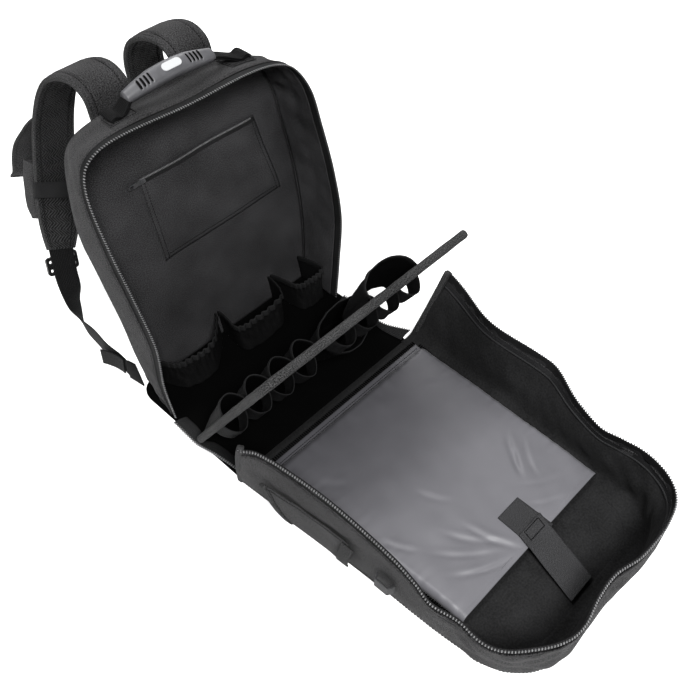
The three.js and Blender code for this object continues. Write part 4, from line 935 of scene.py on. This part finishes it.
# Creases in the satin: from x, y to x, y, then depth and width.
sleeve_creases = np.array([
    [113, -313, 72, -367, 1.7, 4.5], [103, -332, 66, -372, 1.1, 4.0], [120, -334, 82, -384, 0.8, 3.5],
    [-62, -345, -16, -408, 1.3, 4.5], [-36, -356, -8, -430, 1.6, 4.5], [-92, -352, -22, -416, 1.0, 4.0],
    [-101, -386, -30, -424, 1.2, 4.0], [-80, -402, -20, -426, 0.9, 3.0], [-40, -285, -18, -330, 0.7, 5.0],
    [-118, -300, -96, -344, 0.7, 4.0], [-112, -190, -86, -222, 0.6, 6.0], [96, -180, 128, -206, 0.5, 6.0],
    [40, -396, 92, -424, 0.9, 3.5], [54, -372, 112, -404, 0.7, 4.0],
])


def crease_depth(x, y, creases):
    """Depth pressed in by straight creases: each a bell across its own line, fading out at both ends."""
    total = np.zeros_like(x)
    for x0, y0, x1, y1, depth, width in creases:
        ahead = np.array([x1 - x0, y1 - y0])
        length = np.hypot(*ahead)
        ahead = ahead / length
        along = (x - x0) * ahead[0] + (y - y0) * ahead[1]
        beside = (y - y0) * ahead[0] - (x - x0) * ahead[1] + 0.06 * length * np.sin(pi * along / length)
        fade = np.exp(-np.clip(np.abs(along / length - 0.5) * 2 - 0.35, 0, None) ** 2 / 0.18)
        ridge = 0.55 * np.exp(-(((beside - 1.5 * width) / (1.1 * width)) ** 2))
        total += depth * fade * (np.exp(-((beside / width) ** 2)) - ridge)
    return total


sleeve_count = 230
u, v = steps(sleeve_count, sleeve_count)
sleeve_half = sleeve_width / 2 * (1 - sleeve_taper * v)
sleeve_x = sleeve_shift + (2 * u - 1) * sleeve_half
sleeve_y = sleeve_near - sleeve_long * v
side_in = (1 - np.abs(2 * u - 1)) * sleeve_half
full = np.clip(1 - (1 - np.clip(side_in / 9, 0, 1)) ** 2, 0, 1) ** 0.5
full *= np.clip(1 - (1 - np.clip((v * sleeve_long - 12) / 12, 0, 1)) ** 2, 0, 1) ** 0.5
crowned = 11.0 + 3.4 * np.sin(pi * u) ** 0.5 * np.sin(pi * np.clip(v, 0, 0.9)) ** 0.6
crowned -= 3.2 * np.clip((v - 0.86) / 0.14, 0, 1) ** 1.5
soft = 0.55 * crumple(sleeve_x, sleeve_y, 125, 81) + 0.3 * crumple(sleeve_x, sleeve_y, 46, 82)
edge_pull = 0.9 * crumple(sleeve_x * 0.2, sleeve_y, 17, 83) * np.exp(-side_in / 12)
edge_pull += 0.8 * crumple(sleeve_x, sleeve_y * 0.2, 15, 84) * np.exp(-np.clip(v * sleeve_long - 14, 0, None) / 10)
sleeve_z = 6.2 + full * (crowned + soft + edge_pull) - crease_depth(sleeve_x, sleeve_y, sleeve_creases)
sleeve = np.stack([sleeve_x, sleeve_y, np.maximum(sleeve_z, 5.9)], -1)
sleeve_top = surface("sleeve_top", sleeve, satin, "satin", "sleeve", within=(9, -275, -200), thick=1.6)
as_sheet(sleeve)
sleeve_floor = np.stack([sleeve_x, sleeve_y, np.full_like(sleeve_x, 5.6)], -1)[::8, ::8]
sleeve_bottom = surface("sleeve_bottom", sleeve_floor, satin, "satin", within=(9, -275, -200), thick=0.4)
as_sheet(sleeve_floor)
up_ward = np.broadcast_to([0.0, 0, 1.0], (sleeve_count, 3))
mouth = slab_of(
    sleeve[:, -1] + [0, 1.0, -1.0], np.broadcast_to([0, 1.0, 0], up_ward.shape), up_ward, 7, 2.8, 10,
)
padded_form("sleeve_mouth_hem", mouth, satin, "satin")
for row, k in (("near", 5), ("far", 9)):
    rows_of(f"sleeve_stitches_{row}", sleeve[4:-4, k], up_ward[4:-4], 3.6, stitch, thread, "satin", lift=0.2)
# The overlocked edge of the sleeve shows as short tufts of lining along both sides and the hinge.
tuft = bead(2.2, 7.0, 2.4, 6, 3, square=0.9)
for side_name, k, shift in (("left", 0, -2.5), ("right", -1, 2.5)):
    line = sleeve[k, 4:] + [shift, 0, 1.6]
    rows_of(f"sleeve_tufts_{side_name}", line, up_ward[4:], 3.3, tuft, velour, "lining")
line = sleeve[:, 0] + [0, 2.5, 1.2]
rows_of("sleeve_tufts_near", line, up_ward, 3.3, tuft, velour, "lining")

# ---------------------------------------------------------------------------------------------------
# Strap and tab that close the sleeve: webbing with a hook-and-loop patch, box-stitched to the sleeve
# and sewn into the far wall.
webbing_cloth = woven(
    "webbing_tape", (0.0003, 0.0003, 0.0003), (0.011, 0.011, 0.0115), 0.0024, "rib", grain=0.45, relief=0.6,
    roughness=0.72,
)
hook_tape = woven(
    "hook_tape", (0.012, 0.012, 0.0125), (0.075, 0.075, 0.078), 0.0015, "rib", grain=0.7, relief=0.6, roughness=0.6,
)


def over_sleeve(x, y):
    """Height of the sleeve under a point, read from its grid of rows and columns."""
    v = np.clip((sleeve_near - y) / sleeve_long, 0, 1)
    u = np.clip(((x - sleeve_shift) / (sleeve_width / 2 * (1 - sleeve_taper * v)) + 1) / 2, 0, 1)
    last = sleeve_count - 1
    return sleeve[(u * last).astype(int), (v * last).astype(int), 2]


strap_middle = sleeve_shift + 0.04 * sleeve_width
tab_start = sleeve_near - sleeve_long - 6.1
u, v = steps(26, 60)
tab_x = strap_middle + 42 * (u - 0.5) * (1 - 0.06 * v)
tab_y = tab_start + 52 * v
settled = over_sleeve(tab_x, tab_y).mean(0)
settled = np.convolve(np.pad(settled, 6, "edge"), np.ones(13) / 13, "valid")
tab = np.stack([tab_x, tab_y, np.broadcast_to(settled + 1.9, tab_x.shape)], -1)
tab_piece = surface("sleeve_tab_webbing", tab, hook_tape, "webbing", "sleeve_tab", within=(20, -400, -100), thick=1.4)
as_sheet(tab)

anchor_station = 0.498
anchor = flap_wall(np.array([anchor_station]), np.array([0.14]))[0] + [0, 30, 0]
u, v = steps(26, 110)
strap_x = anchor[0] + (strap_middle - anchor[0]) * v + 42 * (u - 0.5)
strap_y = anchor[1] + (tab_start + 20 - anchor[1]) * v
rest = over_sleeve(strap_x, np.maximum(strap_y, sleeve_near - sleeve_long)).mean(0)
rest = np.convolve(np.pad(rest, 6, "edge"), np.ones(13) / 13, "valid")
rise = np.clip((strap_y[0] - anchor[1]) / (sleeve_near - sleeve_long - anchor[1]), 0, 1)
rise = rise**2 * (3 - 2 * rise)
strap_z = anchor[2] + (rest + 4.0 - anchor[2]) * rise + 0.8 * np.sin(2 * pi * v[0]) * (1 - rise)
strap_grid = np.stack([strap_x, strap_y, strap_z + 0.4 * crumple(strap_x, strap_y, 45, 85)], -1)
strap_piece = surface(
    "sleeve_strap_webbing", strap_grid, hook_tape, "webbing", "sleeve_strap", within=(20, -480, -100), thick=1.5,
)
as_sheet(strap_grid)
tip_box = np.array([[5, 92], [21, 92], [21, 106], [5, 106], [5, 92]])
corners = strap_grid[tip_box[:, 0], tip_box[:, 1]]
box_side = np.linspace(0, 1, 20, endpoint=False)[:, None]
box_line = np.concatenate([a + (b - a) * box_side for a, b in zip(corners, corners[1:])])
rows_of(
    "sleeve_strap_stitches", box_line, np.broadcast_to([0.0, 0, 1.0], box_line.shape), 2.8, stitch, thread, "webbing",
    lift=0.4,
)

# ---------------------------------------------------------------------------------------------------
# Slant pocket and small loop sewn on the outside of the front's left wall.


def on_side(station, height, stand):
    """Point off the wall's outer side, at a height above the panel."""
    top = flap_wall(station, np.ones_like(station))[..., 2]
    flat = flap_wall(station, height / top)
    return flat + outward(flat, flap_middle) * np.asarray(stand)[..., None]


u, v = steps(110, 40)
pocket_station = 0.086 - 0.046 * v + (0.163 - (0.086 - 0.046 * v)) * u
pocket_open = 4.5 * np.clip(1 - u, 0, 1) ** 2 * np.sin(pi * v) ** 0.5 + 0.3 * crumple(u * 90, v * 60, 34, 91)
slant_pocket = on_side(pocket_station, 1.2 + v * 58, 2.4 + pocket_open)
slant_piece = surface(
    "flap_side_pocket_cloth", slant_pocket, weave_cloth, "weave", "flap_side_pocket", within=(0, -200, 30), thick=1.2,
)
as_sheet(slant_pocket)
mouth_line = slant_pocket[0]
mouth_out = outward(slant_pocket, flap_middle)[0]
mouth_side = unit(np.cross(np.gradient(mouth_line, axis=0), mouth_out))
hem = slab_of(mouth_line, mouth_side, mouth_out, 8.0, 3.4, 10)
padded_form("flap_side_pocket_hem", hem, binding_cloth, "binding")
pocket_out = outward(slant_pocket, flap_middle)
for row, line, out in (
    ("top", slant_pocket[3:-2, -3], pocket_out[3:-2, -3]), ("end", slant_pocket[-4, 2:-2], pocket_out[-4, 2:-2]),
    ("mouth", slant_pocket[8, 2:-2], pocket_out[8, 2:-2]),
):
    rows_of(f"flap_side_pocket_stitches_{row}", line, out, 3.8, stitch, thread, "weave", lift=0.3)


def beside_wall(station, height, stand, station_step, height_step):
    """A line off the wall with its two directions: aside along the given step, and out of the wall."""
    step = np.array([[-1.0], [0], [1]])
    rows = on_side(station + step * station_step, height + step * height_step, stand + 0 * step)
    aside = unit(rows[2] - rows[0])
    return rows[1], aside, outward(rows, flap_middle)[1]


run = np.linspace(0, 1, 24)
hang, hang_side, hang_out = beside_wall(
    np.full(24, 0.164), 54 - 40 * run, 2.4 + 4.0 * np.sin(pi * run) ** 0.6 + 4 * run, 0.003, 0,
)
padded_form(
    "flap_side_pocket_tab", slab_of(hang, hang_side, hang_out, 17.0, 2.2, 10, square=0.2), binding_cloth, "weave",
)
run = np.linspace(0, 1, 50)
loop_line, loop_up, loop_out = beside_wall(
    0.206 + 0.024 * run, np.full(50, 41.4), 1.4 + 7.4 * np.clip(np.sin(pi * run) * 2.2, 0, 1), 0, 2.0,
)
loop_out = unit(np.cross(loop_up, np.gradient(loop_line, axis=0)))
loop = slab_of(loop_line, loop_up, loop_out, 21, 2.2, 14, square=0.2)
padded_form("flap_side_loop_webbing", loop, hook_tape, "webbing", "flap_side_loop")

# ---------------------------------------------------------------------------------------------------
# Carrying handle: a grip of moulded soft plastic tilted forwards, with four slots either side of a
# bare oval inlay. Webbing runs out of both ends into stitched patches on the top wall.
grip_plastic, grip_tree, _ = finish("moulded_grip", (0.07, 0.07, 0.074), 0.42)
tone_between(grip_tree, noise(grip_tree, 60.0, 3.0), (0.07, 0.07, 0.074), (0.14, 0.14, 0.148))
raised(grip_tree, noise(grip_tree, 1100.0), 0.35, 0.0003)
u, v = steps(300, 96)
turn = 2 * pi * v
full = 0.68 + 0.32 * np.clip(3.4 * np.minimum(u, 1 - u), 0, 1) ** 0.8
across = 11.5 * full * squared(np.cos(turn), 0.8)
out = 10.5 * full * squared(np.sin(turn), 0.8)
grip_long, grip_at, grip_high, grip_rise = 128, 40, 413, 7
slot_pitch = 5.4
x_along = (-0.52 + u) * grip_long
slot_group = lambda centre: np.maximum.reduce([
    np.exp(-(((x_along - centre - slot_pitch * (k - 1.5)) / 1.35) ** 4)) for k in range(4)
])
slots = np.maximum(slot_group(-39), slot_group(33)) * np.exp(-((across / 6.4) ** 6)) * (out > 0)
dots = 0.6 * (np.sin(2 * pi * x_along / 5) > 0.72) * (np.sin(2 * pi * across / 5) > 0.6) * (out < 0)
shrink = 1 - (2.0 * slots + 0.8 * dots) / 10.5
tilt_grip = radians(45)
local = np.stack([
    x_along,
    grip_at + across * shrink * np.cos(tilt_grip) - out * shrink * np.sin(tilt_grip),
    grip_high + grip_rise * np.sin(pi * u) + across * shrink * np.sin(tilt_grip) + out * shrink * np.cos(tilt_grip),
], -1)
slot_painted_shade = mottled("slot_shade_paint", (0.004, 0.004, 0.004), 0.8, 800.0, gloss=(0.3, 0.6), Specular_IOR_Level=0.1)
ends = [np.broadcast_to(local[k].mean(0), (1, *local[k].shape)) for k in (0, -1)]
grip = surface(
    "grip_body", upright(np.concatenate([ends[0], local, ends[1]])), grip_plastic, "grip", "handle_grip", closed=True,
)
# Dark beads sunk in each slot: painted shade in the slots' hollows.
slot_x = np.concatenate([centre + slot_pitch * (np.arange(4) - 1.5) for centre in (-39, 33)])
slot_rise = grip_rise * np.sin(pi * (slot_x / grip_long + 0.52))
slot_out = 8.9 + 0 * slot_x
slot_places = upright(np.stack([
    slot_x, grip_at - slot_out * np.sin(tilt_grip), grip_high + slot_rise + slot_out * np.cos(tilt_grip),
], -1))
slot_axes = upright(np.array([
    [1, 0, 0], [0, np.cos(tilt_grip), np.sin(tilt_grip)], [0, -np.sin(tilt_grip), np.cos(tilt_grip)],
])) - upright(np.zeros(3))
slot_form, slot_faces = bead(3.0, 12.5, 1.2, 10, 6)
surface_copies(
    "grip_slot_painted_shade", slot_form, slot_faces, slot_places, np.broadcast_to(slot_axes, (8, 3, 3)), slot_painted_shade, "grip",
)
repaint("handle_badge", mottled("smooth_inlay", (0.5, 0.51, 0.515), 0.35, 300.0, gloss=(0.15, 0.28)))

for side_name, stations, grip_end in (("left", (0.402, 0.44), 0.0), ("right", (0.611, 0.573), 1.0)):
    u, v = steps(46, 34)
    across = 25 + 30 * v
    anchor_station = stations[0] + (stations[1] - stations[0]) * u
    flat = arch(anchor_station, across)
    patch_out = outward(flat, bag_middle)
    lifted = flat + patch_out * (1.6 + 0.3 * crumple(u * 40, v * 30, 16, 95))[..., None]
    anchor_patch = surface(
        f"handle_patch_{side_name}", upright(lifted), weave_cloth, "weave", f"handle_anchor_{side_name}",
        within=inside, thick=1.0,
    )
    as_sheet(upright(lifted))
    edge, edge_out = (
        np.concatenate([grid[2:-3, 2], grid[-3, 2:-3], grid[-3:2:-1, -3], grid[2, -3:2:-1]])
        for grid in (lifted, patch_out)
    )
    rows_of(
        f"handle_patch_stitches_{side_name}", upright(edge), upright(edge + edge_out) - upright(edge), 3.2, stitch,
        thread, "weave", lift=0.3,
    )
    run = np.linspace(0, 1, 60)
    away = -1.0 if side_name == "left" else 1.0
    start = np.array([(-0.52 + grip_end) * grip_long - away * 4, grip_at, grip_high - 1])
    landing = arch(stations[1] + (stations[0] - stations[1]) * (0.15 + 0.75 * run), np.full(60, 40.0)) + [0, 0, 5.0]
    reach = np.clip(2.2 * run, 0, 1)[:, None] ** 0.8
    strand = start * (1 - reach) + landing * reach
    strand[:, 2] += 1.6 * np.sin(3 * pi * run)
    ahead = unit(np.gradient(strand, axis=0))
    over = np.broadcast_to([0.0, 1.0, 0.0], strand.shape)
    up_strand = np.cross(ahead, over)
    up_strand *= np.sign(up_strand[:, 2:3])
    squeeze = 0.62 + 0.38 * np.clip(2.0 * run, 0, 1)
    for fold, offset in (("upper", 1.7), ("lower", -0.6)):
        leaf = slab_of(upright(strand + offset * up_strand), over, upright(strand + up_strand) - upright(strand),
                       23.0, 2.2, 12, taper=squeeze)
        nodes = (f"handle_webbing_{side_name}",) if fold == "upper" else ()
        padded_form(f"handle_webbing_{side_name}_{fold}", leaf, webbing_cloth, "webbing", *nodes, fill=0.8)

# ---------------------------------------------------------------------------------------------------
# Shoulder straps: foam between coarse polyester outside and spacer mesh inside, bound along both
# edges and quilted with a row of stitches near each, then webbing, ladder buckle, tab and loose end.
strap_rows = np.array([
    [0, 0.365, 0.026, 0.848, 0], [0.036, 0.365, 0.026, 0.905, 0], [0.085, 0.365, 0.03, 0.98, 0],
    [0.121, 0.365, 0.117, 1.005, 0], [0.169, 0.365, 0.261, 0.992, 0], [0.229, 0.371, 0.432, 0.947, 0],
    [0.292, 0.394, 0.578, 0.868, 0], [0.364, 0.441, 0.689, 0.761, 0], [0.437, 0.506, 0.747, 0.647, 0],
    [0.51, 0.588, 0.752, 0.538, 0], [0.582, 0.706, 0.696, 0.447, 0], [0.657, 0.847, 0.595, 0.371, 0],
    [0.709, 0.894, 0.579, 0.294, 0.03], [0.757, 0.924, 0.56, 0.223, 0.15], [0.799, 0.947, 0.558, 0.157, 0.5],
    [0.844, 0.976, 0.467, 0.117, 0.9], [0.924, 0.988, 0.241, 0.102, 1], [1, 0.982, 0.03, 0.085, 1],
])


def strap_line(station):
    """Middle line of the left strap: across, behind the leaning back, and up."""
    across, behind, up, _ = np.moveaxis(along_rows(strap_rows, station), -1, 0)
    height = height_over_all * up
    return np.stack([-half_width * across, back_edge + height * tan(lean) + 216 * behind, height], -1)


def strap_axes(station):
    """The line, the direction across the strap, and the direction out of its outer face."""
    tangent = unit(strap_line(np.minimum(station + 0.004, 1)) - strap_line(np.maximum(station - 0.004, 0)))
    flat_side = unit(np.array([1.0, 0, 0]) - tangent * tangent[..., :1])
    flat_normal = np.cross(flat_side, tangent)
    turn = pi / 2 * along_rows(strap_rows, station)[..., 3:4]
    side = np.cos(turn) * flat_side + np.sin(turn) * flat_normal
    return strap_line(station), side, np.cross(side, tangent)


spacer_mesh = woven(
    "spacer_mesh", (0.0008, 0.0008, 0.0008), (0.045, 0.045, 0.046), 0.0042, "herringbone", grain=0.25, relief=1.0,
)
mirror = np.array([-1.0, 1, 1])
pad_end = 0.657  # the share of the strap's line that is padded
strap_wide, strap_run, webbing_wide = 57, 640, 34
run = np.linspace(0, pad_end, 260)
origin, side, normal = strap_axes(run)
width = strap_wide * (1 - 0.4 * np.clip((run / pad_end - 0.82) / 0.18, 0, 1) ** 1.6)
s = np.linspace(-1, 1, 61)
padding = 4.9 * (1 - np.abs(s) ** 7) ** 0.5
groove = 2.4 * np.exp(-(((np.abs(s) * 28.5 - 20.2) / 1.5) ** 2))
strap_wave = 0.5 * crumple(run[:, None] * strap_run, s[None] * 28, 60, 101)
bend = np.linalg.norm(np.gradient(np.gradient(origin, axis=0), axis=0), axis=-1)
bend = np.clip(bend / bend.max(), 0, 1)[:, None]
outer_off = padding - groove + strap_wave * (1 - np.abs(s) ** 4)
inner_wave = (0.6 + 1.0 * bend) * crumple(run[:, None] * strap_run, s[None] * 28, 22, 102)
inner_off = -padding + groove + inner_wave * (1 - s**4)
shells = {"outer": (outer_off, weave_cloth), "inner": (inner_off, spacer_mesh)}
buckle_plastic = mottled("buckle_plastic", (0.012, 0.012, 0.012), 0.3, 500.0, gloss=(0.3, 0.15))
for hand, flip in (("left", np.ones(3)), ("right", mirror)):
    for shell, (off, cloth) in shells.items():
        aside = 0.5 * width[:, None, None] * s[None, :, None] * side[:, None]
        grid = origin[:, None] + aside + off[..., None] * normal[:, None]
        body_line = origin * flip
        nodes = (f"shoulder_strap_{hand}",) if shell == "outer" else ()
        made = surface(f"strap_{shell}_{hand}", grid * flip, cloth, "weave", *nodes, within=(0, 0, 0), thick=0.0)
        mesh = made.data
        wanted = (normal * (1 if shell == "outer" else -1)) * flip
        some = list(mesh.polygons)[::97]
        facing = np.array([polygon.normal for polygon in some])
        centres = np.array([polygon.center for polygon in some]) * 1000
        nearest = ((centres[:, None] - body_line[None]) ** 2).sum(-1).argmin(1)
        if (facing * wanted[nearest]).sum() < 0:
            mesh.flip_normals()
    for edge, sign in (("inner", -1), ("outer", 1)):
        line = (origin + sign * 0.5 * width[:, None] * side) * flip
        rim = slab_of(line, side * flip, normal * flip, 4.6, 6.6, 12, square=0.8)
        padded_form(f"strap_piping_{edge}_{hand}", rim, binding_cloth, "binding", fill=1.0)
        row = (origin + sign * (0.5 * width[:, None] - 8.3) * side + 3.0 * normal) * flip
        rows_of(f"strap_stitches_{edge}_{hand}", row[3:-3], normal[3:-3] * flip, 4.2, stitch, thread, "weave")

    web_run = np.linspace(0.645, 1, 150)
    web_line, web_side, web_normal = strap_axes(web_run)
    web_lift = 0.9 * crumple(web_run * strap_run, web_run * 0, 60, 103)
    web = slab_of((web_line + web_lift[:, None] * web_normal) * flip, web_side * flip, web_normal * flip, 34, 1.8, 14)
    padded_form(f"strap_webbing_{hand}_tape", web, webbing_cloth, "webbing", f"strap_webbing_{hand}")
    repaint(f"ladder_buckle_{hand}", buckle_plastic)

    u, v = steps(24, 20)
    heights = foot_at(72.7) + 0.3 + 40 * v
    root_x = arch(np.array([0.06]), np.array([72.7]))[0, 0] - 2.4
    root = upright(np.stack([np.full_like(v, root_x), np.full_like(v, 77.0), heights], -1))
    end_origin, end_side, _ = strap_axes(np.array([1.0]))
    before = strap_line(np.array([0.996]))
    onward = (end_origin - before) / np.linalg.norm(end_origin - before) * 0.9
    tab_end = end_origin[0] + end_side[0] * (40 * (0.5 - v))[..., None] + onward[0]
    tab_grid = (root + (tab_end - root) * u[..., None]) * flip
    tab_made = surface(
        f"lower_tab_{hand}_cloth", tab_grid, webbing_cloth, "webbing", f"lower_tab_{hand}", within=(0, 60, 20),
        thick=2.0,
    )
    tab_made.modifiers["thickness"].offset = 0
    as_sheet(tab_grid)

    tail_run = np.linspace(0, 1, 40)
    tail_line, tail_side, tail_normal = strap_axes(0.99 - 0.07 * tail_run)
    tail_line = tail_line + (2.0 + 6.6 * tail_run**2)[:, None] * tail_normal
    tail_line = tail_line + [0, 0, -1.0] * (13.2 * tail_run**1.5)[:, None]
    tail = slab_of(tail_line * flip, tail_side * flip, tail_normal * flip, 34, 1.8, 12)
    padded_form(f"strap_tail_{hand}_webbing", tail, webbing_cloth, "webbing", f"strap_tail_{hand}")

# ---------------------------------------------------------------------------------------------------
# Pouch on the left strap: a box of coarse polyester with its mouth at the top, held by an elastic
# keeper, under a bound flap that is sewn to the strap above and curls out over the mouth.
pad_at = lambda step: pad_end * step / 18


def round_strap(station, angle, width, thick, stand, square):
    """Point on a squared ellipse round a middle that stands off the strap."""
    origin, side, normal = strap_axes(station)
    aside = 0.5 * width * squared(np.cos(angle), square)
    out = stand + 0.5 * thick * squared(np.sin(angle), square)
    return origin + side * aside[..., None] + normal * out[..., None]


u, v = steps(30, 73)
keeper_at = pad_at(14) + (pad_at(15) - pad_at(14)) * u
ruffle = 0.5 * np.sin(2 * pi * v * 26) * np.abs(2 * u - 1) ** 2
keeper = round_strap(keeper_at, 2 * pi * v, 57 + 5.4 + ruffle, 10 + 5.4 + ruffle, 0, 0.35)
keeper_piece = surface(
    "strap_keeper_elastic", keeper, elastic, "webbing", "strap_keeper_left", within=strap_line(np.array([0.529]))[0],
    thick=1.4,
)
as_sheet(keeper)

u, v = steps(90, 97)
pouch_at = pad_at(13) + (pad_at(16) - pad_at(13)) * u
pouch_rows = np.array([[0, 0.86, 0.9], [0.35, 0.97, 1], [0.8, 1, 1], [1, 0.86, 0.9]])
thick_share, wide_share = np.moveaxis(along_rows(pouch_rows, u), -1, 0)
pouch_wave = 1.1 * crumple(u * 80, np.abs(v - 0.5) * 200, 46, 111) * np.sin(pi * u) ** 0.5
pouch_thick = 44 * thick_share + pouch_wave
pouch = round_strap(pouch_at, 2 * pi * v, 56 * wide_share + pouch_wave, pouch_thick, 7.4 + 22 * thick_share, 0.36)
foot_middle = pouch[-1].mean(0)
closing = foot_middle + (pouch[-1] - foot_middle) * np.linspace(1, 0, 12)[1:, None, None] ** 0.8
mouth_middle = pouch[0].mean(0)
mouth_low = pouch[4].mean(0)
opening = mouth_low + (pouch[0] - mouth_middle) * np.linspace(0, 0.93, 8)[:, None, None]
pouch_grid = np.concatenate([opening, pouch, closing])
padded_form("pouch_box", pouch_grid, weave_cloth, "weave", "pouch_body", fill=0.6)
for seam_name, angle in (("near", 0.28), ("far", 0.22)):
    k = int(round(angle * 96)) if seam_name == "far" else int(round((0.5 - 0.22) * 96))
    line = pouch[:, k]
    seam_out = unit(line - round_strap(pouch_at[:, 0], np.zeros(90), 0, 0, 29.0, 1.0))
    rows_of(f"pouch_stitches_{seam_name}", line[3:-3], seam_out[3:-3], 3.8, stitch, thread, "weave", lift=0.2)

flap_rows = np.array([
    [0, 0.365, 0], [0.2, 0.397, 0.34], [0.42, 0.427, 0.7], [0.6, 0.452, 1.02], [0.8, 0.483, 1.28],
    [0.92, 0.504, 1.44], [1, 0.512, 1.68],
])
u, v = steps(46, 110)
flap_station, flap_out = np.moveaxis(along_rows(flap_rows, v), -1, 0)
flap_origin, flap_side, flap_normal = strap_axes(flap_station)
sway = 0.8 * crumple(u * 56, v * 130, 60, 112) * np.clip(v * 3, 0, 1)
cover = flap_origin + flap_side * (56 * (u - 0.5))[..., None] + flap_normal * (5.3 + 44 * flap_out + sway)[..., None]
cover_piece = surface(
    "pouch_cover", cover, weave_cloth, "weave", "pouch_flap", within=strap_line(np.array([0.53]))[0], thick=1.8,
)
as_sheet(cover)
cover_normal = grid_normals(cover)
cover_normal *= np.sign((cover_normal * flap_normal).sum(-1, keepdims=True))
border = np.concatenate([cover[0], cover[1:-1, -1], cover[-1, ::-1]])
border_out = np.concatenate([cover_normal[0], cover_normal[1:-1, -1], cover_normal[-1, ::-1]])
border_side = unit(np.cross(np.gradient(border, axis=0), border_out))
edge_tape = slab_of(border - 0.9 * border_out, border_side, border_out, 6.0, 3.4, 10, square=0.7)
padded_form("pouch_cover_binding", edge_tape, binding_cloth, "binding")
